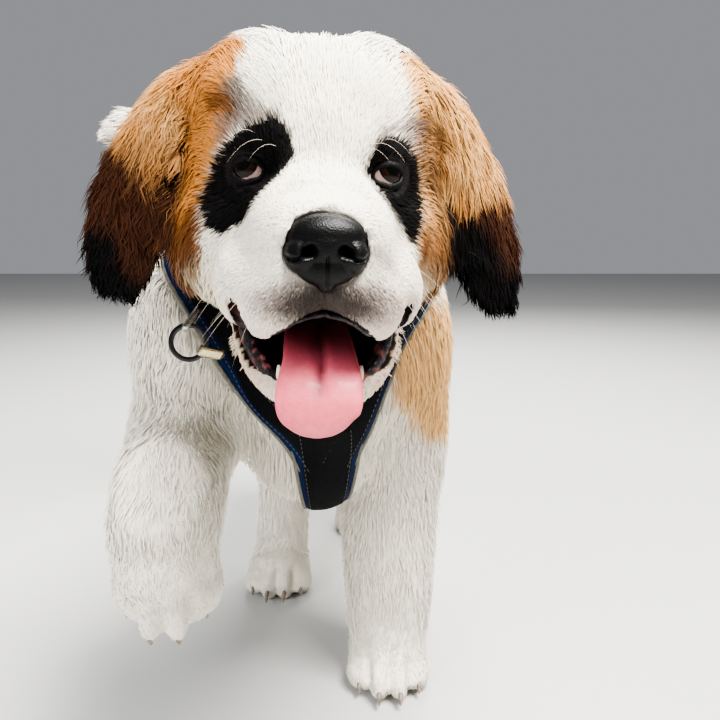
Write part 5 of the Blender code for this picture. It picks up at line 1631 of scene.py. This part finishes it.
# %% Lips and teeth
LOWER_LIP = [
    (0.0500, 0.008, -0.0800, 0.0030, 0.0040),
    (0.0470, -0.010, -0.0940, 0.0042, 0.0060),
    (0.0420, -0.027, -0.1080, 0.0046, 0.0072),
    (0.0335, -0.044, -0.1200, 0.0042, 0.0064),
    (0.0220, -0.055, -0.1275, 0.0036, 0.0048),
    (0.0080, -0.060, -0.1300, 0.0030, 0.0034),
]
UPPER_LIP = [
    (0.0480, 0.004, -0.0790, 0.0018, 0.0022),
    (0.0455, -0.018, -0.0880, 0.0019, 0.0024),
    (0.0390, -0.042, -0.0945, 0.0019, 0.0024),
    (0.0285, -0.063, -0.0950, 0.0018, 0.0022),
    (0.0148, -0.076, -0.0865, 0.0016, 0.0018),
    (0.0000, -0.081, -0.0818, 0.0014, 0.0016),
]
CANINE = [
    (0.0225, -0.0535, -0.1290, 0.0030, 0.0034),
    (0.0240, -0.0560, -0.1215, 0.0024, 0.0028),
    (0.0248, -0.0560, -0.1155, 0.0008, 0.0009),
]


LIP_RED, LIP_BLACK = (0.26, 0.085, 0.08), (0.010, 0.008, 0.009)
ENAMEL = (0.78, 0.70, 0.56)


def flipped(rows, side):
    """Rows of a form on the left, brought to a side."""
    return [(side * x, *others) for x, *others in rows]


def add_lip(name, rows, side, crimp, black):
    """A lip crimped by so many metres; the larger black is, the less of it is pink."""
    lip = loft(name, flipped(rows, side), HEAD, around=16, steps=10)
    lip_places, lip_normals = mesh_arrays(lip)
    lip_places += lip_normals * (noise(lip_places, 0.0035, 2) * crimp)[:, None]
    move_points(lip, lip_places)
    dark = smoothstep(0.5 + 2.2 * (noise(lip_places, 0.0045, 5) + black))
    colours = np.tile(LIP_RED, (len(lip_places), 1))
    paint(colours, dark, LIP_BLACK)
    add_colours(lip, colours)
    finish_piece(lip, lip_wet)


lip_wet = finish("lip_wet", 0.35, 0.35, shade=(0.003, 0.8, 1.1), grain=(0.0016, 0.7, 0.001), wet=(0.2, 0.1))
enamel = finish("tooth_enamel", 0.22, colour=ENAMEL, grain=(0.002, 0.15, 0.0003))
for name, side in SIDES.items():
    add_lip("lower_lip_" + name, LOWER_LIP, side, 0.0011, 0.20)
    add_lip("upper_lip_" + name, UPPER_LIP, side, 0.0005, 0.70)
    canine = loft("canine_" + name, flipped(CANINE, side), HEAD, around=14, steps=4)
    finish_piece(canine, enamel)
print("four lips and two canines")

# %% [markdown]
# The harness is made of padded straps that lie on the coat. Each strap is a row of stations with a
# half width. A flat strip could be wrapped on by a modifier, but it would twist round the neck. Rays
# dropped towards the middle of the trunk find where the coat is, so the strap follows the body, and
# its section is crowned, with a bound edge on both sides.

# %% Straps laid on the coat
TRUNK_CORE = (Vector((0.005, -0.110, 0.340)), Vector((0.0, 0.100, 0.345)))
PADDING = 0.0052  # metres
STRAP_CLEAR = 0.0032  # of the coat's solids
RIGHT_STRAP = [
    (0.012, -0.240, 0.262, 0.0200), (-0.001, -0.243, 0.287, 0.0185), (-0.019, -0.248, 0.307, 0.0160),
    (-0.042, -0.246, 0.324, 0.0150), (-0.052, -0.252, 0.346, 0.0145), (-0.062, -0.258, 0.374, 0.0145),
    (-0.074, -0.252, 0.402, 0.0145), (-0.092, -0.218, 0.428, 0.0145), (-0.096, -0.170, 0.453, 0.0145),
    (-0.078, -0.125, 0.474, 0.0145), (-0.046, -0.088, 0.485, 0.0145),
]
LEFT_STRAP = [
    (0.022, -0.235, 0.262, 0.0190), (0.032, -0.243, 0.287, 0.0185), (0.042, -0.250, 0.312, 0.0160),
    (0.052, -0.250, 0.337, 0.0150), (0.064, -0.246, 0.362, 0.0145), (0.082, -0.235, 0.386, 0.0145),
    (0.100, -0.205, 0.412, 0.0145), (0.102, -0.165, 0.442, 0.0145), (0.078, -0.125, 0.470, 0.0145),
    (0.046, -0.088, 0.485, 0.0145),
]
BREAST_PANEL = [
    (0.004, -0.120, 0.205, 0.0145), (0.010, -0.165, 0.208, 0.0160), (0.014, -0.205, 0.218, 0.0205),
    (0.016, -0.232, 0.243, 0.0245), (0.017, -0.243, 0.275, 0.0300), (0.015, -0.250, 0.300, 0.0300),
]
HALF_GIRTH = [(0.070, -0.052, 0.225), (0.122, -0.050, 0.290), (0.124, -0.045, 0.370), (0.080, -0.040, 0.445)]
BELLY_STRAP = [(0.004, -0.122, 0.205, 0.0140), (0.002, -0.085, 0.205, 0.0140), (0.000, -0.048, 0.205, 0.0140)]
BACK_PAD = [
    (0.000, -0.105, 0.490, 0.036), (0.000, -0.080, 0.480, 0.045), (0.000, -0.040, 0.470, 0.046),
    (0.000, 0.010, 0.470, 0.040), (0.000, 0.035, 0.470, 0.028),
]
GIRTH_TOP, GIRTH_BOTTOM, GIRTH_HALF = (0.0, -0.040, 0.475), (0.0, -0.050, 0.200), 0.0145
RAY_START, RAY_LENGTH = 0.03, 0.07  # metres over the coat, and how far a ray looks
coat_tree = obstacle_tree(FLESH)


def girth_rows():
    """Stations of the girth, up the left side and down the right, back to the first."""
    right = [(-x, y, z) for x, y, z in HALF_GIRTH[::-1]]
    points = [GIRTH_BOTTOM, *HALF_GIRTH, GIRTH_TOP, *right, GIRTH_BOTTOM]
    return [(*point, GIRTH_HALF) for point in points]


def clear_of(point, inward, gap):
    """The point moved outwards until it lies a gap away from the coat."""
    for _ in range(24):
        near, outward, _, distance = coat_tree.find_nearest(point)
        outside = (point - near).dot(outward) > 0
        if outside and distance >= gap:
            break
        point = point - inward * (0.0004 if outside else 0.0004 + distance * 0.6)
    return point


def even_out(grid, passes, closed):
    """Draws each point of a grid towards its fellows in the lines before and after."""
    count = len(grid)
    held = 0 if closed else 1
    for _ in range(passes):
        old = [list(line) for line in grid]
        for i in range(held, count - held):
            for k in range(len(grid[i])):
                grid[i][k] = (old[i - 1][k] + 2 * old[i][k] + old[(i + 1) % count][k]) / 4


def lay(rows, across_count, steps, closed=False):
    """A grid of points on the coat under a strap, and the way inwards at each row."""
    rows = even_rows(rows, steps)
    rows = rows[:-1] if closed else rows
    count = len(rows)
    start, end = (BODY @ point for point in TRUNK_CORE)
    span = end - start
    inwards, centres_of = [], []
    for row in rows:
        point = BODY @ Vector(row[:3])
        share = min(1, max(0, (point - start).dot(span) / span.dot(span)))
        inward = (start + span * share - point).normalized()
        hit = coat_tree.ray_cast(point - inward * 0.05, inward)[0]
        centres_of.append(hit or point)
        inwards.append(inward)
    grid = []
    for i, centre in enumerate(centres_of):
        following = centres_of[(i + 1) % count] - centres_of[i - 1]
        along = following.normalized() if closed else heading(centres_of, i)
        across = along.cross(inwards[i]).normalized()
        line = []
        for s in np.linspace(-1, 1, across_count):
            above = centre + across * rows[i][3] * s - inwards[i] * RAY_START
            hit = coat_tree.ray_cast(above, inwards[i], RAY_LENGTH)[0]
            line.append(hit or above + inwards[i] * RAY_START)
        grid.append(line)
    even_out(grid, steps * 2, closed)
    for line, inward in zip(grid, inwards):
        for k, point in enumerate(line):
            line[k] = clear_of(point, inward, STRAP_CLEAR)
    even_out(grid, steps, closed)
    return grid, inwards


print("the girth has", len(girth_rows()), "stations")

# %% [markdown]
# The cloth is a dense black weave with a navy band inside each bound edge. A photo of cloth would
# show its tiling, and threads as forms would be too many, so the weave is relief in the finish. It
# follows the strap, so it is drawn on a map of the strap's own: one way across it, the other along.
# Only the bound edges and the stitches stand out far enough to be beads of their own.

# %% Cloth of the straps
NAVY = (0.004, 0.013, 0.050)
STRAP_BLACK = (0.0038, 0.0038, 0.0045)
PIPING = (0.16, 0.155, 0.125)
THREAD = (0.10, 0.10, 0.09)
WEAVE = 0.0011  # metres from thread to thread
PIPING_RADIUS, THREAD_RADIUS = 0.0019, 0.00042
STITCH, STITCH_GAP = 0.0030, 0.0018  # metres
STRAP_STEPS = 5  # rows laid for each station


def cloth_material():
    """A weave of two crossing waves over the colours kept in the strap's points."""
    made = finish("strap_weave", 0.78, 0.10, shade=(0.006, 0.75, 1.15))
    nodes, links = made.node_tree.nodes, made.node_tree.links
    flat_map = nodes.new("ShaderNodeUVMap")
    flat_map.uv_map = "cloth"
    both = nodes.new("ShaderNodeMath")
    both.operation = "MULTIPLY"
    for k, direction in enumerate("XY"):
        wave = nodes.new("ShaderNodeTexWave")
        wave.bands_direction = direction
        wave.inputs["Scale"].default_value = 0.314 / WEAVE
        links.new(flat_map.outputs["UV"], wave.inputs["Vector"])
        links.new(wave.outputs["Fac"], both.inputs[k])
    add_bump(nodes, links, nodes["Principled BSDF"], both.outputs["Value"], 0.55, 0.0006)
    return made


def add_cloth_map(thing, count, around, along):
    """A map over a form made of rings: around metres round each ring, along metres from end to end."""
    rings = len(thing.data.vertices) // count
    layer = thing.data.uv_layers.new(name="cloth")
    for polygon in thing.data.polygons:
        places_of = [divmod(v, count) for v in polygon.vertices]
        wraps = {k for _, k in places_of} >= {0, count - 1}
        turns = {i for i, _ in places_of} >= {0, rings - 1}
        for loop, (i, k) in zip(polygon.loop_indices, places_of):
            k += count if wraps and k == 0 else 0
            i += rings if turns and i == 0 and rings > 2 else 0
            layer.data[loop].uv = (around * k / count, along * i / rings)


def add_strap(name, rows, closed, across_count, thick, navy):
    """A padded strap with a crowned section, its two bound edges and its stitches."""
    grid, inwards = lay(rows, across_count, STRAP_STEPS, closed)
    spread = np.linspace(-1, 1, across_count)
    rings, shades = [], []
    for line, inward in zip(grid, inwards):
        outer = [p - inward * thick * (1 - 0.55 * s**6) for p, s in zip(line, spread)]
        rings.append(outer + line[::-1])
        shades += [NAVY if navy < abs(s) < 0.98 else STRAP_BLACK for s in spread]
        shades += [STRAP_BLACK] * across_count
    pad = skin_rings(name, rings, closed)
    length = sum((b[0] - a[0]).length for a, b in zip(grid, grid[1:]))
    shades += [STRAP_BLACK] * (len(pad.data.vertices) - len(shades))
    add_colours(pad, np.array(shades))
    add_cloth_map(pad, across_count * 2, 4 * rows[0][3], length)
    edges = []
    for k in (0, -1):
        path = [line[k] - inward * thick * 0.40 for line, inward in zip(grid, inwards)]
        edges.append(add_tube(name + "_edge", path, PIPING_RADIUS, 8, closed))
    stitches = []
    for k in (2, across_count - 3):
        raised = [line[k] - inward * thick for line, inward in zip(grid, inwards)]
        stitches += add_stitches(raised, closed)
    return pad, edges, stitches


def add_tube(name, path, radius, around, closed=False):
    """A round bead along a path of points."""
    rings = []
    count = len(path)
    up = Vector((0, 0, 1))
    for i, centre in enumerate(path):
        along = (path[(i + 1) % count] - path[i - 1]).normalized() if closed else heading(path, i)
        side = along.cross(up)
        side = side.normalized() if side.length > 0.2 else along.cross(Vector((0, 1, 0))).normalized()
        top = side.cross(along)
        thin = 1.0 if closed or 0 < i < count - 1 else 0.55
        ring = []
        for k in range(around):
            a = 2 * pi * k / around
            ring.append(centre + (side * cos(a) + top * sin(a)) * radius * thin)
        rings.append(ring)
    return skin_rings(name, rings, closed)


def add_stitches(path, closed):
    """Short threads along a path."""
    points = path + path[:1] if closed else path
    reach = np.cumsum([0] + [(b - a).length for a, b in zip(points, points[1:])])
    flat = np.array([list(p) for p in points])

    def at(distance):
        return Vector([np.interp(distance, reach, flat[:, k]) for k in range(3)])

    made = []
    start = 0.002
    while start + STITCH < reach[-1] - 0.002:
        thread_path = [at(start), at(start + STITCH / 2), at(start + STITCH)]
        made.append(add_tube("stitch", thread_path, THREAD_RADIUS, 4))
        start += STITCH + STITCH_GAP
    return made


cloth = cloth_material()
plain = {"shade": (0.003, 0.75, 1.15), "grain": (0.0005, 0.6, 0.0006)}
piping = finish("edge_piping", 0.8, 0.2, PIPING, **plain)
thread = finish("thread", 0.8, 0.2, THREAD, **plain)
# stations, closed or not, points across, thickness, where the navy starts, nodes it stands for
STRAPS = {
    "breast_panel": (BREAST_PANEL, False, 15, PADDING, 0.80, ["harness_front"]),
    "strap_right": (RIGHT_STRAP, False, 11, PADDING * 0.96, 0.60, []),
    "strap_left": (LEFT_STRAP, False, 11, PADDING * 0.96, 0.60, []),
    "girth": (girth_rows(), True, 11, PADDING, 0.60, ["harness_girth"]),
    "belly_strap": (BELLY_STRAP, False, 11, PADDING * 0.96, 0.60, []),
    "back_pad": (BACK_PAD, False, 17, 0.0080, 0.86, ["harness_back_pad"]),
}
for name, (rows, closed, across_count, thick, navy, replaced) in STRAPS.items():
    pad, edges, stitches = add_strap(name, rows, closed, across_count, thick, navy)
    finish_piece(pad, cloth, replaced)
    finish_piece(join(name + "_binding", edges), piping)
    finish_piece(join(name + "_seams", stitches), thread)
    print(name, len(pad.data.polygons), "faces,", len(stitches), "stitches")

# %% [markdown]
# A black ring hangs on the front of the right strap, held by a folded metal keeper below and a
# steel link above. The ring is a torus. The keeper and the link could be bent from strips, but they
# are seen only as small rounded tabs, so they are short lofts that wrap the ring.

# %% Ring, keeper and link
RING_AT = Vector((-0.0894, -0.2802, 0.3734))
RING_FACES = Vector((0.18, -0.97, 0.12))
RING_RADIUS, RING_WIRE = 0.0135, 0.0021
RING_BLACK, BRASS, STEEL = (0.006, 0.006, 0.007), (0.62, 0.52, 0.34), (0.50, 0.50, 0.50)
# shares of a tab's reach, half width and half depth
TAB_ROWS = [(-0.38, 0.45, 0.40), (-0.30, 0.9, 0.8), (-0.1, 1, 1), (0.4, 1, 1), (1.3, 0.95, 0.9)]
# name, middle from the ring's, reach, half width, half depth, finish, node it stands for
FITTINGS = [
    ("keeper", (0.0114, 0.001, -0.0074), (0.009, 0.010, -0.004), 0.0044, 0.0034,
     ("keeper_brass", BRASS, 0.32), "ring_keeper"),
    ("link", (-0.001, 0.001, 0.0136), (0.004, 0.012, 0.008), 0.0036, 0.0030,
     ("link_steel", STEEL, 0.28), "ring_link"),
]


def metal(name, colour, roughness):
    """Handled metal, shinier in patches."""
    patches = (0.002, roughness * 0.7, roughness * 1.4)
    made = finish(name, roughness, colour=colour, grain=(0.0008, 0.08, 0.0003), gloss=patches)
    made.node_tree.nodes["Principled BSDF"].inputs["Metallic"].default_value = 1.0
    return made


def add_fitting(name, centre, reach, half, depth):
    """A rounded tab that wraps the ring at its centre and reaches towards its strap."""
    rows = []
    for share, wide, deep in TAB_ROWS:
        rows.append((*(centre + reach * share), half * wide, depth * deep))
    return loft(name, rows, BODY, side=(0.6, 0, 0.8), around=20, steps=4, square=3.0)


bpy.ops.mesh.primitive_torus_add(
    major_radius=RING_RADIUS, minor_radius=RING_WIRE, major_segments=64, minor_segments=16,
    location=BODY @ RING_AT, rotation=RING_FACES.to_track_quat("Z", "Y").to_euler(),
)
ring = bpy.context.object
ring.name = "lead_ring"
bpy.ops.object.transform_apply(location=True, rotation=True)
ring.select_set(False)
ring_enamel = finish("ring_enamel", 0.32, colour=RING_BLACK, grain=(0.001, 0.1, 0.0003))
finish_piece(ring, ring_enamel, ["harness_ring"])
for name, offset, reach, half, depth, look, node in FITTINGS:
    tab = add_fitting(name, RING_AT + Vector(offset), Vector(reach), half, depth)
    finish_piece(tab, metal(*look), [node])
print("ring, keeper and link")

# %% [markdown]
# Each foot has four short claws, of which only the tips show through the coat. They are small
# curved cones of horn, lofted because a plain cone can't bend, and clouded darker and paler.

# %% Claws
TOES = [(0.0102, -0.034, 0.0168), (0.0290, -0.018, 0.0152)]  # across, ahead and size
CLAW_ROWS = [
    (0.0080, 0.0150, 0.0026, 0.0031),
    (0.0035, 0.0150, 0.0026, 0.0030),
    (-0.0005, 0.0135, 0.0022, 0.0026),
    (-0.0030, 0.0105, 0.0014, 0.0016),
    (-0.0042, 0.0082, 0.0004, 0.0005),
]  # behind the tip, height, half width and half depth
DRAWN_BACK = {"right_fore": 0.0030}  # how far the raised paw's hair hides its claws
HORN = (0.20, 0.155, 0.125)
horn = finish("claw_horn", 0.35, 0.4, HORN, shade=(0.003, 0.55, 1.35), grain=(0.0012, 0.2, 0.0003))
for name, foot in FEET.items():
    claws = []
    for side in SIDES.values():
        for across, ahead, size in TOES:
            tip = ahead - size * 1.45 + DRAWN_BACK.get(name, 0.0)
            rows = [(side * across, tip + behind, *others) for behind, *others in CLAW_ROWS]
            claws.append(loft("claw", rows, foot, around=14, steps=4))
    finish_piece(join("claws_" + name, claws), horn)
    print(len(claws), "claws on the foot", name)

# %% [markdown]
# Whiskers are single stiff hairs, pale on this white muzzle. They stand on the lips and over the
# eyes, in rows that are a little uneven, and droop towards their thin ends. As tufts of the coat
# they would be too short and too thick, so each is a thin bead along a curve of its own.

# %% Whiskers
WHISKER_ROWS = [
    ((0.040, -0.080, -0.058), (0.046, -0.046, -0.052), 4, (0.75, -0.30, -0.45), 30, 0.22),
    ((0.038, -0.078, -0.070), (0.050, -0.042, -0.066), 4, (0.70, -0.25, -0.65), 32, 0.22),
    ((0.034, -0.074, -0.082), (0.050, -0.036, -0.080), 2, (0.60, -0.20, -0.80), 28, 0.22),
    ((0.056, 0.004, -0.084), (0.058, 0.016, -0.092), 2, (0.60, 0.10, -0.80), 18, 0.22),
    ((0.024, -0.016, 0.012), (0.038, -0.012, 0.020), 3, (0.70, -0.45, 0.65), 34, 0.85),
]  # from, to, how many, direction, length in mm and droop
WHISKER_RADIUS = 0.00011
WHISKER_PALE = (0.74, 0.66, 0.54)


def add_whisker(root, direction, length, droop):
    """A four-sided hair from the skin near a root."""
    near, outward, _, _ = skin_tree.find_nearest(root)
    start = near - outward * 0.002
    path = []
    for s in np.linspace(0, 1, 7):
        path.append(start + direction * length * s + Vector((0, 0, -droop * length * s * s)))
    rings = []
    for i, centre in enumerate(path):
        along = heading(path, i)
        side = along.cross(Vector((0, 0, 1))).normalized()
        top = side.cross(along)
        radius = WHISKER_RADIUS * (1 - 0.85 * i / 6)
        turns = (0, pi / 2, pi, 3 * pi / 2)
        rings.append([centre + (side * cos(a) + top * sin(a)) * radius for a in turns])
    return skin_rings("whisker", rings)


whisker_hair = finish("whisker_hair", 0.45, 0.3, WHISKER_PALE, gloss=(0.004, 0.35, 0.6))
for name, side in SIDES.items():
    hairs = []
    for first, last, count, lie, length, droop in WHISKER_ROWS:
        for s in np.linspace(0, 1, count):
            spot = Vector(first).lerp(Vector(last), s)
            spot.x *= side
            wander = Vector(rng.normal(0, 0.13, 3))
            lies = Vector((side * lie[0], *lie[1:])).normalized() + wander
            direction = (HEAD.to_3x3() @ lies).normalized()
            reach = length / 1000 * rng.uniform(0.7, 1.15)
            hairs.append(add_whisker(HEAD @ spot, direction, reach, droop))
    finish_piece(join("whiskers_" + name, hairs), whisker_hair)
    print(len(hairs), "whiskers on the", name)

# %% [markdown]
# With the eyes, the nose, the mouth and the straps in place, the coat can grow round them. It could
# be one piece, but it would be too large to handle, so each region of the body is a piece with its
# own number of tufts: fine and dense where the photo looks closely, coarser on the back.

# %% The coat, region by region
MUZZLE_BACK = -0.004  # in y of the head's frame
BREAST_BACK, LEG_TOP, FLANK_TOP = -0.10, 0.215, 0.36  # in y, z and z of the body's frame
RAISED_LEG = (-0.05, -0.235, 0.325)  # the raised leg lies below these in x, y and z
MOUTH_CORNER = (236, 322)  # in the picture, kept free of hair
coat_finish = finish("coat_of_hair", 0.72, 0.10, shade=(0.0025, 0.90, 1.05))
x, y, z = centre_body.T
on_face = head_share * (1 - ear_share) * (tail_share < 0)
crown_weight = on_face * (centre_head[:, 1] >= MUZZLE_BACK)
muzzle_weight = on_face * (centre_head[:, 1] < MUZZLE_BACK)
corner_gap = np.linalg.norm(seen_at(centres) - np.array(MOUTH_CORNER), axis=1)
muzzle_weight = muzzle_weight * past(corner_gap, 7, 5)
breast = (y < BREAST_BACK) * (1 - head_share) * (1 - ear_share)
raised = (x < RAISED_LEG[0]) & (y < RAISED_LEG[1]) & (z < RAISED_LEG[2])
low = (z < LEG_TOP) | raised
fine = 1 + 1.5 * past(-z, -0.06, 0.03)
rest_of_body = (y >= BREAST_BACK) * (1 - ear_share) * (tail_share < 0) * (1 - head_share)
left_side = centre_head[:, 0] > 0
grow("coat_muzzle", "white_coat", muzzle_weight, 30000, 1, 0.0008)
grow("coat_face", "white_coat", muzzle_weight, 22000, 1, 0.0008)
grow("coat_crown", "white_coat", crown_weight, 33000, 1, 0.0010)
grow("coat_breast", "white_coat", breast * ~low, 29000, 1, 0.0012)
grow("coat_neck", "white_coat", breast * ~low, 29000, 1, 0.0012)
grow("coat_legs", "white_coat", low * fine * (1 - ear_share) * (1 - head_share), 30000, 1, 0.0012)
grow("coat_back", "red_coat", rest_of_body * ~low * (z > FLANK_TOP), 11000, 1, 0.0022)
grow("coat_flanks", "red_coat", rest_of_body * ~low * (z <= FLANK_TOP), 12000, 1, 0.0022)
grow("coat_ear_left", "red_coat", ear_share * left_side, 10500, 2, 0.0011, 0.03, False)
grow("coat_ear_right", "dark_coat", ear_share * ~left_side, 10500, 2, 0.0012, 0.20, False)
grow("coat_tail", "white_coat", 1.0 * (tail_share >= 0), 8500, 2, 0.0021, 0.05, False)
